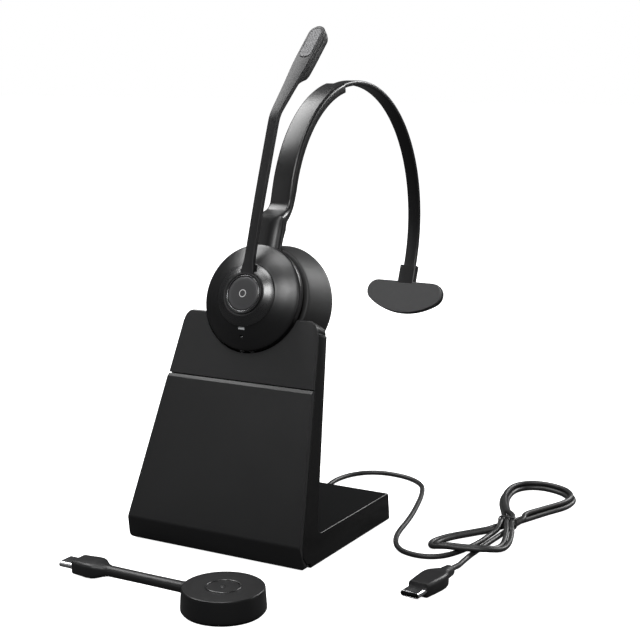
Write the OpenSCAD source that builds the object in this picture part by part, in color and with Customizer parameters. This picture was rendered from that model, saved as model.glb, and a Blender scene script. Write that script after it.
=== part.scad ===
/* [Charging stand] */
// Width of the stand's foot, side to side
stand_w = 88; // [84:0.5:92]
// Depth of the stand's foot, front to back
stand_d = 82; // [80:0.5:86]
// Height of the top of the flat foot
foot_h = 12.4; // [11.5:0.1:14]
// Angle by which the front plate leans back
lean = 20.4; // [19:0.2:22]
// Length of the front plate, from the crease to its top edge
plate_len = 94.3; // [92:0.1:96]
// Height up the plate of the groove between the two front panels
groove_s = 65.5; // [60:0.5:68]
// Thickness of the moulded walls of the stand
wall = 1.8; // [1.5:0.1:2]
// Thickness of the anti-slip pad under the foot
pad_t = 1; // [0.8:0.1:1.2]

/* [Ear cup] */
// Distance up the plate from the crease to the axis of the ear cup
cup_s = 101.5; // [101:0.1:102]
// Radius of the round front shell
shell_r = 23.1; // [22.9:0.05:23.2]
// Radius of the rear edge of the cushion
cushion_r = 27.6; // [27:0.1:27.8]
// Radius of the round button in the middle
button_r = 7.3; // [7:0.05:7.35]
// Travel of the button
button_travel = 0.5; // [0.3:0.1:0.6]

/* [Boom] */
// Width of the flat arm
arm_w = 4.6; // [4:0.1:5.2]
// Thickness of the flat arm
arm_t = 2.2; // [1.8:0.1:2.4]
// Distance from the cup's axis to the kink
kink_s = 78.5; // [76:0.5:81]
// Angle of the kink, towards the mouth
kink = 26.5; // [22:0.5:30]
// Width of the microphone head
mic_w = 8; // [7:0.1:9]
// Length from the kink to the tip
tip_len = 54; // [53:0.5:56]

/* [Headband] */
// Outer radius of the thin band
band_r = 70.8; // [70.6:0.05:70.9]
// Thickness of the thin band
band_t = 2.3; // [2:0.05:2.35]
// Width of the thin band
band_w = 6.5; // [5.5:0.1:6.6]
// Width of the hollow sleeve
sleeve_w = 10.8; // [10:0.1:12]
// Turn of the band in the sleeve, from closed to fully drawn out
band_travel = 18; // [10:1:19]
// Half the width of the rest above the far ear
temple_half = 21.3; // [20.5:0.1:22]

/* [USB lead] */
// Diameter of the round lead
cord_d = 2.3; // [2:0.1:3.6]

/* [Wireless adapter] */
// Radius of the adapter's round case at its base
puck_r = 16.4; // [16:0.1:17]
// Height of the adapter's case
puck_h = 9.7; // [9.5:0.1:11]
// Place of the centre of the adapter's case, X and Y
puck_at = [36.1, -85.2];

/* [Hidden] */

// Fine circles for anything round
$fn = 96;
// Running clearance round the band in its sleeve
gap = 0.1;

// --- The stand's own lines -------------------------------------------------------------------
front_y = 1 - stand_d / 2;
crease_z = 9.4;
rear_y = stand_d / 2 - 0.5;
// Inward slope of both sides, in mm of half width per mm of height
draft = 0.115;
panel_t = 1.6;
riser_rear_low = [-24.6, foot_h];
riser_rear_top = [0.3, 93.1];
cup_at = plate_pt(cup_s, 0);
notch_r = shell_r + 0.8;
notch_flare = 0.22;
board_t = 1.2;
screw_xy = [[-34, -27], [34, -27], [-34, 33], [34, 33]];
pin_x = 2.4;
pin_e = -3.3;

function half_w(z) = stand_w / 2 - draft * z;
// A point of the centre plane, as [y, z]: s up the front plate and e out from it
function plate_pt(s, e) = [
    front_y + s * sin(lean) - e * cos(lean),
    crease_z + s * cos(lean) + e * sin(lean)
];
function arc(c, r, a0, a1, n = 10) = [
    for (i = [0:n]) c + r * [cos(a0 + (a1 - a0) * i / n), sin(a0 + (a1 - a0) * i / n)]
];

// --- The headband's arcs ---------------------------------------------------------------------
sleeve_c = [78.6, 133];
sleeve_r = 61.6;
sleeve_t = 4.4;
cover_t = 0.8;
mouth_a = 101;
band_c = [83.6, 123.8];
band_tail_a = 130;
band_end_a = -26.5;
temple_a = -21.3;

// --- USB-C plug sizes ------------------------------------------------------------------------
usb_w = 8.25;
usb_h = 2.4;
usb_l = 6.6;

// --- The lead's route, in millimetres --------------------------------------------------------
cord_r = cord_d / 2;
lead_in = [
    [0, 50, 5.2], [-0.7, 55.26, 4], [-1.8, 60.52, 2.2], [-3.3, 65.78, 1.3], [-4.4, 72.04, 1.2],
    [-4.7, 78.3, 1.2], [-3.9, 84.3, 1.2], [-1.7, 90.3, 1.2], [2.5, 95.8, 1.2], [8.5, 99.1, 1.2],
    [15.5, 99.9, 1.2], [23.5, 98.5, 1.2], [30.5, 94.9, 1.2], [36.1, 89.3, 1.2], [40.1, 81.3, 1.2],
    [43.5, 72.3, 1.2], [46.9, 61.3, 1.2], [50.3, 49.3, 1.2], [53.1, 37.3, 1.2], [55.3, 26.3, 1.2],
    [57.9, 17.3, 1.2], [61.9, 9.3, 1.2], [67.1, 3.7, 1.2], [73.5, 1.5, 1.2], [79.5, 2.1, 1.2],
    [84.5, 5.5, 1.2], [87.9, 11.7, 1.2], [90.3, 20.3, 1.2], [91.7, 29.3, 1.2], [92.1, 39.3, 1.2]
];
plug_run = [
    [96.1, 41.3, 1.2], [95.5, 31.3, 1.2], [95, 21.3, 1.2], [94.7, 12.3, 1.2], [94.9, 5.04, 1.2],
    [95.45, -1.35, 1.5], [96, -6.74, 2.5], [96.38, -12.4, 3.2]
];
tie_at = [94, 55.3];
near_loop = [
    tie_at, [88.9, 45.8], [83.3, 37.3], [77.9, 28.8], [75.1, 20.3], [77.5, 13.9], [84, 12.3], [91.5, 13.7],
    [98.5, 16.3], [102.9, 22.8], [102.5, 32.3], [99.9, 42.3]
];
far_loop = [
    tie_at, [88, 69.3], [81.7, 82.3], [78.1, 93.8], [77.5, 105.3], [82.1, 113.1], [90.5, 115.3],
    [100.5, 111.7], [106.5, 103.8], [106.9, 92.8], [102.1, 80.3], [97.7, 68.3]
];
bundle_h = 4.8;
plug_at = [94.2, -37.3, 3.2];
plug_turn = -5;

// --- Helpers ---------------------------------------------------------------------------------
// A side view, given as [y, z], drawn out along X
module across(w) {
    rotate([90, 0, 90])
        linear_extrude(w, center = true)
            children();
}
// A front view, given as [x, z], drawn out along Y
module along_y(d = 300) {
    rotate([90, 0, 0])
        linear_extrude(d, center = true)
            children();
}
// Children sit on the plate: X sideways, Y up the plate, Z out of it
module on_plate() {
    translate([0, front_y, crease_z])
        rotate([90 - lean, 0, 0])
            children();
}
module on_cup() {
    translate([0, cup_at.x, cup_at.y])
        rotate([90 - lean, 0, 0])
            children();
}
module stand_sides(inset = 0) {
    along_y()
        polygon([
            [-half_w(-2) + inset, -2], [half_w(-2) - inset, -2],
            [half_w(110) - inset, 110], [-half_w(110) + inset, 110]
        ]);
}
module ring(ro, ri, z0, z1) {
    translate([0, 0, z0])
        difference() {
            cylinder(h = z1 - z0, r = ro);
            translate([0, 0, -1])
                cylinder(h = z1 - z0 + 2, r = ri);
        }
}
module turned(points) {
    rotate_extrude()
        polygon(points);
}
// Sector of a flat ring about the X axis, centred on [y, z] = c, from angle a0 to a1 above +Y
module x_sector(c, ro, ri, w, a0, a1) {
    translate([0, c.x, c.y])
        rotate([a0, 0, 0])
            rotate([90, 0, 90])
                rotate_extrude(angle = a1 - a0)
                    translate([ri, -w / 2])
                        square([ro - ri, w]);
}
// A bar of round-cornered section, drawn out along Z
module soft_bar(w, h, r, l) {
    linear_extrude(l)
        polygon(concat(
            arc([w / 2 - r, h / 2 - r], r, 0, 90, 5), arc([-w / 2 + r, h / 2 - r], r, 90, 180, 5),
            arc([-w / 2 + r, -h / 2 + r], r, 180, 270, 5), arc([w / 2 - r, -h / 2 + r], r, 270, 360, 5)
        ));
}

// --- Sweeping a round tube along a route -----------------------------------------------------
function unit(v) = v / norm(v);
function mixed(a, b, c, d, t) = 0.5 * (
    2 * b + (c - a) * t + (2 * a - 5 * b + 4 * c - d) * t * t + (3 * b - a - 3 * c + d) * t * t * t
);
function smooth_open(p, n) = concat(
    [for (i = [0:len(p) - 2], k = [0:n - 1])
        mixed(p[max(i - 1, 0)], p[i], p[i + 1], p[min(i + 2, len(p) - 1)], k / n)],
    [p[len(p) - 1]]
);
function smooth_loop(p, n) = [for (i = [0:len(p) - 1], k = [0:n - 1])
    mixed(p[(i + len(p) - 1) % len(p)], p[i], p[(i + 1) % len(p)], p[(i + 2) % len(p)], k / n)];
function heading(p, i) = unit(p[min(i + 1, len(p) - 1)] - p[max(i - 1, 0)]);
function tube_ring(p, i, r, n) = let (
    h = heading(p, i),
    s = unit(cross(h, [0, 0, 1])),
    u = cross(s, h)
) [for (k = [0:n - 1]) p[i] + r * (cos(360 * k / n) * s + sin(360 * k / n) * u)];
module tube(p, r, n = 8) {
    m = len(p);
    polyhedron(
        points = [for (i = [0:m - 1], v = tube_ring(p, i, r, n)) v],
        faces = concat(
            [[for (k = [n - 1:-1:0]) k]],
            [for (i = [0:m - 2], k = [0:n - 1])
                [i * n + k, i * n + (k + 1) % n, (i + 1) * n + (k + 1) % n, (i + 1) * n + k]],
            [[for (k = [0:n - 1]) (m - 1) * n + k]]
        )
    );
}

// --- Charging stand --------------------------------------------------------------------------
stand_outline = concat(
    [[rear_y, pad_t - 0.2], [-36.6, pad_t - 0.2]],
    arc(plate_pt(2.4, -2.4), 2.4, 199, 180 - lean, 5),
    [plate_pt(plate_len - 1, 0), plate_pt(plate_len - 0.2, -0.7), plate_pt(plate_len, -1.8)],
    [[-1, 94.2], riser_rear_top],
    [riser_rear_low + [0.8, 2.6], riser_rear_low + [1.6, 1], riser_rear_low + [3, 0.1]],
    arc([rear_y - 1.4, foot_h - 1.4], 1.4, 90, 0, 5)
);
riser_in_low = riser_rear_low + wall * [-0.955, 0.295];
riser_in_top = riser_rear_top + wall * [-0.955, 0.295];

module stand_body() {
    intersection() {
        across(120) polygon(stand_outline);
        stand_sides();
        on_plate()
            translate([0, 0, -150])
                linear_extrude(300)
                    polygon(concat(
                        [[-60, -60], [60, -60], [60, plate_len - 5]],
                        arc([half_w(93) - 5.2, plate_len - 5], 5, 0, 90, 8),
                        arc([-half_w(93) + 5.2, plate_len - 5], 5, 90, 180, 8),
                        [[-60, plate_len - 5]]
                    ));
    }
}
module notch(extra = 0) {
    on_cup()
        translate([0, 0, -14])
            cylinder(h = 20, r1 = notch_r + 14 * notch_flare + extra, r2 = notch_r - 6 * notch_flare + extra);
}
module stand_housing() {
    color("#1b1b1c") {
        difference() {
            stand_body();
            on_plate()
                translate([-60, -20, -panel_t - 0.5])
                    cube([120, 160, 40]);
            across(120)
                polygon([
                    [-60, -5], [-32.6, -5], [-32.6, pad_t + 1.7], [-35.1, pad_t + 1.8],
                    plate_pt(-2, -panel_t - 1.6), plate_pt(8, -panel_t + 0.6), plate_pt(8, 30)
                ]);
            intersection() {
                union() {
                    across(120)
                        polygon([
                            [-60, foot_h - wall - 8], [-32, foot_h - wall], riser_in_low - [0, wall],
                            riser_in_low, plate_pt(plate_len - 4, -6.6), plate_pt(plate_len - 4, 10),
                            [-60, 60]
                        ]);
                    across(120)
                        polygon([
                            [-60, -5], [rear_y - wall, -5], [rear_y - wall, foot_h - wall],
                            [-60, foot_h - wall]
                        ]);
                }
                stand_sides(wall);
            }
            notch();
            translate([0, rear_y + 2, 5.2])
                rotate([90, 0, 0])
                    cylinder(h = 8, r = 3.2);
        }
        intersection() {
            difference() {
                notch(wall);
                notch();
                for (side = [-1, 1])
                    on_cup()
                        translate([side * pin_x, -notch_r - 4, pin_e])
                            rotate([-90, 0, 0])
                                cylinder(h = 8, r = 0.9, $fn = 32);
            }
            stand_body();
            on_plate()
                translate([-40, 40, -60 - panel_t - 0.7])
                    cube([80, plate_len - 40, 60]);
        }
        for (p = screw_xy)
            translate([p.x, p.y, 2.9])
                ring(2.6, 1, 0, foot_h - wall - 2.8);
    }
}
module front_cover() {
    color("#232324")
        intersection() {
            across(120)
                polygon(concat(
                    [plate_pt(groove_s - 0.1, -panel_t - 0.3), plate_pt(groove_s - 0.1, -0.6)],
                    [plate_pt(groove_s - 1.6, 0.3)],
                    arc(plate_pt(2.4, -2.4), 2.7, 180 - lean, 199, 5),
                    arc([-35.8, pad_t + 1.2], 1.6, 199, 262, 4),
                    [[-33, pad_t - 0.4], [-33, pad_t + 1.2], [-35.4, pad_t + 1.3]],
                    [plate_pt(-2.2, -panel_t - 1.2), plate_pt(2, -panel_t - 0.3)]
                ));
            stand_sides();
        }
}
module dock_plate() {
    color("#2a2a2b")
        difference() {
            intersection() {
                stand_body();
                on_plate()
                    translate([-60, groove_s + 0.3, -panel_t - 0.3])
                        cube([120, 60, panel_t]);
            }
            notch();
        }
}
module base_plate() {
    color("#161617")
        difference() {
            intersection() {
                translate([-60, -32.6, pad_t + 0.1])
                    cube([120, rear_y - wall + 32.4, 1.6]);
                stand_sides(wall + 0.2);
            }
            for (p = screw_xy)
                translate([p.x, p.y, 0])
                    cylinder(h = 6, r = 1.4, $fn = 32);
        }
}
module foot_pad() {
    color("#101010")
        difference() {
            translate([0, 3, 0])
                soft_bar(76, 68, 8, pad_t);
            for (p = screw_xy)
                translate([p.x, p.y, -1])
                    cylinder(h = 4, r = 2.6, $fn = 32);
        }
}
module ballast() {
    color("#77797c")
        translate([0, 8, 3.1])
            soft_bar(56, 48, 3, 5);
}
module charge_board() {
    color("#1d5a38")
        on_plate()
            translate([-16, 18, -6.4])
                cube([32, 52, board_t]);
}
module charge_pin(side) {
    color("#c9a75a")
        on_cup()
            translate([side * pin_x, -notch_r + 0.6, pin_e])
                rotate([90, 0, 0])
                    union() {
                        cylinder(h = 5, r = 0.8, $fn = 32);
                        translate([0, 0, 3.5])
                            cylinder(h = 1, r = 1.4, $fn = 32);
                    }
}
module stand_screws() {
    color("#9a9a9e")
        for (p = screw_xy)
            translate([p.x, p.y, 0.5])
                union() {
                    cylinder(h = 0.6, r = 2.2, $fn = 32);
                    cylinder(h = 8.4, r = 0.95, $fn = 32);
                }
}
module cord_grommet() {
    color("#141414")
        translate([0, rear_y + 9.5, 5.2])
            rotate([90, 0, 0])
                turned([
                    [0, 0], [2.3, 0], [2.8, 7.6], [4, 7.6], [4, 9.45], [3.1, 9.45], [3.1, 11.2], [0, 11.2]
                ]);
}

// --- USB lead --------------------------------------------------------------------------------
module stand_cord() {
    color("#1a1a1a")
        tube(smooth_open(lead_in, 2), cord_r);
}
module loop_band(p) {
    linear_extrude(bundle_h)
        difference() {
            offset(r = cord_d) polygon(smooth_loop(p, 4));
            offset(r = -cord_d) polygon(smooth_loop(p, 4));
        }
}
module cord_bundle() {
    color("#1a1a1a")
        union() {
            loop_band(near_loop);
            loop_band(far_loop);
        }
}
module cord_tie() {
    color("#2c2c2c")
        translate([tie_at.x, tie_at.y + 0.8, 0])
            rotate([90, 0, 0])
                linear_extrude(1.6)
                    difference() {
                        polygon([[-4.8, 0], [4.8, 0], [4.8, 4.8], [3.8, 5.8], [-3.8, 5.8], [-4.8, 4.8]]);
                        polygon([[-4.2, 0.6], [4.2, 0.6], [4.2, 4.5], [3.5, 5.2], [-3.5, 5.2], [-4.2, 4.5]]);
                    }
}
module plug_lead() {
    color("#1a1a1a")
        tube(smooth_open(plug_run, 2), cord_r);
}
module usb_shell() {
    difference() {
        soft_bar(usb_w, usb_h, 1.15, usb_l);
        translate([0, 0, 0.6])
            soft_bar(usb_w - 0.6, usb_h - 0.6, 0.85, usb_l);
    }
}
module usb_tongue() {
    translate([-3, -0.3, 0.7])
        cube([6, 0.6, usb_l - 1.4]);
}
// Children point along -Y with their Z: the plug on the lead
module on_plug() {
    translate(plug_at)
        rotate([0, 0, plug_turn])
            rotate([90, 0, 0])
                children();
}
module plug_body() {
    color("#1d1d1e")
        on_plug()
            translate([0, 0, -25])
                intersection() {
                    soft_bar(11, 6.2, 2, 25);
                    rotate([90, 0, 0])
                        linear_extrude(20, center = true)
                            polygon([
                                [-2.4, 0], [2.4, 0], [2.7, 4], [5.2, 10], [5.5, 13], [5.2, 18], [4.5, 25],
                                [-4.5, 25], [-5.2, 18], [-5.5, 13], [-5.2, 10], [-2.7, 4]
                            ]);
                }
}
module plug_shell() {
    color("#c4c6c9")
        on_plug()
            usb_shell();
}
module plug_tongue() {
    color("#2a2a2a")
        on_plug()
            usb_tongue();
}

// --- Ear cup ---------------------------------------------------------------------------------
hub_r = 8.95;
collar_r = 13.7;
collar_e = 5.95;
module cup_shell() {
    color("#2b2b2c")
        on_cup()
            difference() {
                turned([
                    [21.7, -2.3], [shell_r - 0.4, -2.3], [shell_r, 0.9], [shell_r - 0.4, 1.5], [21, 2.5],
                    [19, 3.6],
                    [17, 4.6], [15.4, 5.3], [collar_r + 0.1, collar_e], [hub_r, collar_e],
                    [hub_r, collar_e - 1.4], [collar_r - 0.6, collar_e - 1.4], [18.4, 2.2], [21.4, 0.4]
                ]);
                translate([-7.3, 18.8, -10])
                    cube([14.6, 10, 10.5]);
                translate([-1.8, -14.9, collar_e - 2.6])
                    cube([3.6, 1.4, 6]);
                translate([0, -17.7, 0])
                    cylinder(h = 10, r = 0.75, $fn = 32);
            }
}
module cup_frame() {
    color("#0d0d0d")
        on_cup()
            difference() {
                turned([
                    [20.9, -2.5], [20.9, -6], [14.5, -6], [14.5, -4.7], [19.2, -4.7], [19.2, -2.5]
                ]);
                translate([-7.3, 16.8, -4.9])
                    cube([14.6, 10, 5]);
            }
}
module ear_cushion() {
    color("#1e1e1f")
        on_cup()
            turned([
                [21.1, -4.85], [23.3, -4.7], [24, -5.2], [26.8, -17], [cushion_r, -19.4], [26.8, -21.4],
                [24, -22.7], [18, -22.9], [13.5, -21.6], [11.8, -18.5], [12.2, -14], [14, -12.8],
                [20.9, -12.6], [20.9, -6]
            ]);
}
module speaker_baffle() {
    color("#111111")
        on_cup()
            difference() {
                turned([[20.6, -6.2], [20.6, -12.2], [0, -12.2], [0, -10.8], [19.2, -10.8], [19.2, -6.2]]);
                for (k = [0:5])
                    rotate([0, 0, 60 * k])
                        translate([6, 0, -14])
                            cylinder(h = 6, r = 1.6, $fn = 32);
            }
}
module speaker_cloth() {
    color("#262626")
        on_cup()
            translate([0, 0, -12.8])
                cylinder(h = 0.5, r = 11.4);
}
module speaker_driver() {
    color("#8a8d92")
        on_cup()
            turned([[0, -10.6], [14, -10.6], [14, -8.6], [9, -7.6], [9, -6.4], [0, -6.4]]);
}
module battery() {
    color("#b8bcc2")
        on_cup()
            translate([-10, -7, -5.8])
                cube([20, 14, 4.2]);
}
module main_board() {
    color("#1d5a38")
        on_cup()
            difference() {
                translate([0, 0, -1.2])
                    cylinder(h = 1.2, r = 18.6);
                translate([-8, 15, -5])
                    cube([16, 10, 10]);
            }
}
module charge_pads() {
    color("#c9a75a")
        on_cup()
            for (side = [-1, 1])
                translate([side * pin_x - 1.2, -23.1, -4.1])
                    cube([2.4, 2.1, 1.5]);
}
module status_window() {
    color("#d8dadd")
        on_cup()
            translate([-1.7, -14.8, 2.9])
                cube([3.4, 1.2, 2.2]);
}
module mode_led() {
    color("#9fb0a8")
        on_cup()
            translate([0, -17.7, 2.2])
                cylinder(h = 1.6, r = 0.68, $fn = 32);
}
module button_bezel() {
    color("#6a6a6c")
        on_cup()
            turned([[button_r + 0.1, 1], [button_r + 0.6, 1], [button_r + 0.6, 8.9], [button_r + 0.1, 9]]);
}
module call_button() {
    color("#1f1f20")
        on_cup()
            turned([
                [0, button_travel + 0.3], [2, button_travel + 0.3], [2, 7.4], [button_r, 7.4],
                [button_r, 8.7], [button_r - 0.5, 9], [0, 9]
            ]);
}

// --- Boom ------------------------------------------------------------------------------------
// The arm's front line as [up the plate, out of it], from the hub to the kink and on to the tip
kink_e = 10.5;
arm_front = concat(
    [[8, 9.2], [14, 9.4], [40, 10.3]],
    arc([kink_s - 4, kink_e - 16], 16, 90, 90 - kink, 6),
    [tip_pt(0, tip_len)]
);
arm_back = concat(
    [tip_pt(-arm_t, tip_len)],
    arc([kink_s - 4, kink_e - 16], 16 - arm_t, 90 - kink, 90, 6),
    [[40, 10.3 - arm_t], [14, 7.3], [9.9, 7.3], [9.9, 8.45], [8, 8.45]]
);
// A point of the boom's far part: d out from its front face, u along it from the kink
function tip_pt(d, u) = [
    kink_s - 4 + 16 * sin(kink) + d * sin(kink) + (u - 3.2) * cos(kink),
    kink_e - 16 + 16 * cos(kink) + d * cos(kink) - (u - 3.2) * sin(kink)
];
head_u = 26;
// A side view of the boom, given as [out of the plate, down it], drawn out sideways
module up_plate() {
    rotate([0, -90, 180])
        mirror([0, 0, 1])
            linear_extrude(40, center = true)
                children();
}
module boom_collar() {
    color("#2b2b2c")
        on_cup()
            difference() {
                turned([
                    [8, 3.2], [hub_r - 0.06, 3.2], [hub_r - 0.06, collar_e + 0.1], [collar_r, collar_e + 0.1],
                    [collar_r, collar_e + 0.4], [9.6, 8.4], [8, 8.4], [8, 7.2], [9.4, 7.2], [9.4, 7], [8, 7]
                ]);
                ring(hub_r + 1, hub_r - 0.6, 3.6, 4.1);
                translate([-3.4, 9.6, 7])
                    cube([6.8, 8, 4]);
            }
}
module boom_arm() {
    color("#2e2e2f")
        on_cup()
            union() {
                intersection() {
                    up_plate()
                        polygon([for (p = concat(arm_front, arm_back)) [p.y, -p.x]]);
                    linear_extrude(80, center = true)
                        polygon(concat(
                            [[arm_w / 2, 8], [arm_w / 2, 80], [mic_w / 2 - 0.6, 97]],
                            arc([0, tip_pt(0, tip_len).x - mic_w / 2], mic_w / 2, 0, 180, 14),
                            [[-mic_w / 2 + 0.6, 97], [-arm_w / 2, 80], [-arm_w / 2, 8]]
                        ));
                }
                ring(9.35, 8, 8.45, 9.2);
            }
}
module boom_clip() {
    color("#a8abb0")
        on_cup()
            difference() {
                ring(hub_r + 1.5, hub_r - 0.5, 3.62, 3.95);
                translate([-1.2, 5, 3])
                    cube([2.4, 8, 2]);
            }
}
module mic_housing() {
    color("#202021")
        difference() {
            on_cup()
                intersection() {
                    up_plate()
                        polygon([for (p = [
                            tip_pt(-arm_t - 0.05, head_u - 4.6), tip_pt(-arm_t - 0.05, tip_len - 0.6),
                            tip_pt(-5.6, tip_len - 3.2), tip_pt(-6.3, tip_len - 4.6), tip_pt(-6.3, head_u + 0.2),
                            tip_pt(-5.4, head_u - 1)
                        ]) [p.y, -p.x]]);
                    linear_extrude(80, center = true)
                        polygon(concat(
                            [[mic_w / 2 - 0.6, 90]],
                            arc([0, tip_pt(0, tip_len).x - mic_w / 2], mic_w / 2, 0, 180, 14),
                            [[-mic_w / 2 + 0.6, 90]]
                        ));
                }
            on_mic_face()
                translate([0, 43, -arm_t - 2.7])
                    cylinder(h = 6, r = 2.2);
        }
}
module on_mic_face() {
    on_cup()
        translate([0, tip_pt(0, 0).x, tip_pt(0, 0).y])
            rotate([-kink, 0, 0])
                children();
}
module mic_grille() {
    color("#3a3b3d")
        on_mic_face()
            translate([0, 43.2, 0.05])
                rotate([0, 0, 90])
                    soft_bar(18, 5.8, 2.8, 0.35);
}
module mic_capsule() {
    color("#b0b3b7")
        on_mic_face()
            translate([0, 43, -arm_t - 2.6])
                cylinder(h = 2.2, r = 2);
}

// --- Headband --------------------------------------------------------------------------------
arm_side = concat(
    [plate_pt(cup_s + 19.2, 0.2), plate_pt(cup_s + 34.6, 0.2), plate_pt(cup_s + 36, -0.4)],
    [[11, 139.3], [14.2, 140.1], [16.4, 141.3], [17.6, 143], [18, 145]],
    arc(sleeve_c, sleeve_r, 166.4, mouth_a, 26),
    arc(sleeve_c, sleeve_r - sleeve_t, mouth_a, 166, 26),
    [[22, 144.2], [20.6, 141.2], [18.4, 138.6], [15.6, 136.5], [12.8, 135], [11.2, 133.6]],
    [plate_pt(cup_s + 28, -4.5), plate_pt(cup_s + 19.2, -4.5)]
);
module headband_arm() {
    color("#2b2b2c")
        difference() {
            intersection() {
                across(40) polygon(arm_side);
                along_y()
                    polygon([
                        [-7, 100], [7, 100], [7, 134.5], [sleeve_w / 2 + 0.4, 139], [sleeve_w / 2, 142],
                        [sleeve_w / 2, 230], [-sleeve_w / 2, 230], [-sleeve_w / 2, 142],
                        [-sleeve_w / 2 - 0.4, 139], [-7, 134.5]
                    ]);
            }
            x_sector(band_c, band_r + gap, band_r - band_t - gap, band_w + 2 * gap, 90, band_tail_a + 1.5);
            x_sector(sleeve_c, sleeve_r - sleeve_t + cover_t, 50, sleeve_w - 2, mouth_a - 20, 142);
        }
}
module sleeve_cover() {
    color("#232324")
        difference() {
            x_sector(sleeve_c, sleeve_r - sleeve_t + cover_t - 0.05, sleeve_r - sleeve_t, sleeve_w - 2.1,
                mouth_a + 0.1, 141.9);
            x_sector(band_c, band_r + gap, band_r - band_t - gap, band_w + 2 * gap, 90, band_tail_a + 1.5);
        }
}
module headband_strap() {
    color("#1c1c1d")
        x_sector(band_c, band_r, band_r - band_t, band_w, band_end_a, band_tail_a);
}
// Children sit at the top of the far rest: Z down along the band, Y towards the head
module on_temple() {
    translate([0, band_c.x + (band_r - band_t / 2) * cos(temple_a), band_c.y + (band_r - band_t / 2) * sin(temple_a)])
        rotate([180 + temple_a, 0, 0])
            children();
}
// Outline of the far rest: flat top edge, round ends and a bowed lower edge
function rest_outline(trim) = let (
    end_r = 6.1,
    end_c = [temple_half - end_r, 14.3],
    bow_c = [0, -8],
    turn = atan2(end_c.y - bow_c.y, end_c.x),
    bow_r = norm(end_c - bow_c) + end_r
) concat(
    arc(end_c, end_r - trim, -90, turn, 8),
    arc(bow_c, bow_r - trim, turn, 180 - turn, 20),
    arc([-end_c.x, end_c.y], end_r - trim, 180 - turn, 270, 8)
);
module temple_bar() {
    color("#1f1f20")
        difference() {
            on_temple()
                union() {
                    rotate([90, 0, 0])
                        mirror([0, 0, 1])
                            translate([0, 0, -1.4])
                                linear_extrude(1.8)
                                    polygon(rest_outline(0));
                    translate([0, 0.3, -0.2])
                        soft_bar(9.4, 4, 1, 9.6);
                }
            x_sector(band_c, band_r + 0.03, band_r - band_t - 0.03, band_w + 0.06, band_end_a - 1, 10);
        }
}
module temple_pad() {
    color("#3c3c3d")
        difference() {
            on_temple()
                rotate([90, 0, 0])
                    mirror([0, 0, 1])
                        translate([0, 0, 0.45])
                            linear_extrude(1.85)
                                polygon(rest_outline(0.3));
            on_temple()
                translate([0, 0.3, -1])
                    soft_bar(9.5, 4.1, 1, 10.5);
        }
}

// --- Wireless adapter ------------------------------------------------------------------------
flex_z = 5.8;
adapter_plug_x = -33;
puck_top_r = puck_r - 0.5;
module at_puck() {
    translate([puck_at.x, puck_at.y, 0])
        children();
}
module adapter_base() {
    color("#1a1a1b")
        at_puck()
            turned([[0, 0], [puck_r - 1, 0], [puck_r - 0.4, 0.6], [puck_r - 0.4, 1], [puck_r - 1.6, 1],
                [puck_r - 1.6, 1.8], [0, 1.8]]);
}
module adapter_cap() {
    color("#262627")
        difference() {
            at_puck()
                turned([
                    [puck_r, 1.1], [puck_r, 2], [puck_top_r, puck_h - 0.5], [puck_top_r - 0.5, puck_h],
                    [0, puck_h], [0, puck_h - 1.3], [puck_top_r - 1.6, puck_h - 1.3], [puck_r - 1.5, 1.1]
                ]);
            at_puck()
                ring(6.95, 6.15, puck_h - 0.3, puck_h + 1);
            translate([puck_at.x - puck_r - 2, puck_at.y - 2.5, flex_z - 2.1])
                cube([6, 5, 4.2]);
        }
}
module adapter_badge() {
    color("#4a4a4c")
        at_puck()
            ring(6.85, 6.25, puck_h - 0.28, puck_h + 0.25);
}
module adapter_board() {
    color("#1d5a38")
        at_puck()
            translate([0, 0, 2.6])
                cylinder(h = 1.2, r = 12.6);
}
module adapter_flex() {
    color("#1e1e1f")
        translate([adapter_plug_x, puck_at.y, flex_z])
            rotate([0, 90, 0])
                union() {
                    intersection() {
                        rotate([0, 0, 90])
                            soft_bar(11, 5.8, 1.8, 15);
                        rotate([0, 90, 0])
                            linear_extrude(20, center = true)
                                polygon([
                                    [0, 4.9], [-7, 5.5], [-9.6, 4.9], [-15, 2.3], [-15, -2.3], [-9.6, -4.9],
                                    [-7, -5.5], [0, -4.9]
                                ]);
                    }
                    translate([0, 0, 14])
                        rotate([0, 0, 90])
                            soft_bar(4.6, 3.8, 1.8, puck_at.x - puck_r - adapter_plug_x - 11);
                }
}
module on_adapter_plug() {
    translate([adapter_plug_x, puck_at.y, flex_z])
        rotate([0, -90, 0])
            rotate([0, 0, 90])
                children();
}
module adapter_shell() {
    color("#c4c6c9")
        on_adapter_plug()
            usb_shell();
}
module adapter_tongue() {
    color("#2a2a2a")
        on_adapter_plug()
            usb_tongue();
}

stand_housing();
front_cover();
dock_plate();
base_plate();
foot_pad();
ballast();
charge_board();
charge_pin(-1);  // charge_pin_left
charge_pin(1);  // charge_pin_right
stand_screws();
cord_grommet();
stand_cord();
cord_bundle();
cord_tie();
plug_lead();
plug_body();
plug_shell();
plug_tongue();
cup_shell();
cup_frame();
ear_cushion();
speaker_baffle();
speaker_cloth();
speaker_driver();
battery();
main_board();
charge_pads();
status_window();
mode_led();
button_bezel();
call_button();
boom_collar();
boom_arm();
boom_clip();
mic_housing();
mic_grille();
mic_capsule();
headband_arm();
sleeve_cover();
headband_strap();
temple_bar();
temple_pad();
adapter_cap();
adapter_base();
adapter_badge();
adapter_board();
adapter_flex();
adapter_shell();
adapter_tongue();
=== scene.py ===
"""Detailed visual model of an office headset docked on its charging stand."""

import logging
import math
from dataclasses import dataclass
from enum import Enum
from typing import Any, Sequence

import bmesh
import bpy
from mathutils import Matrix, Vector


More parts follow.
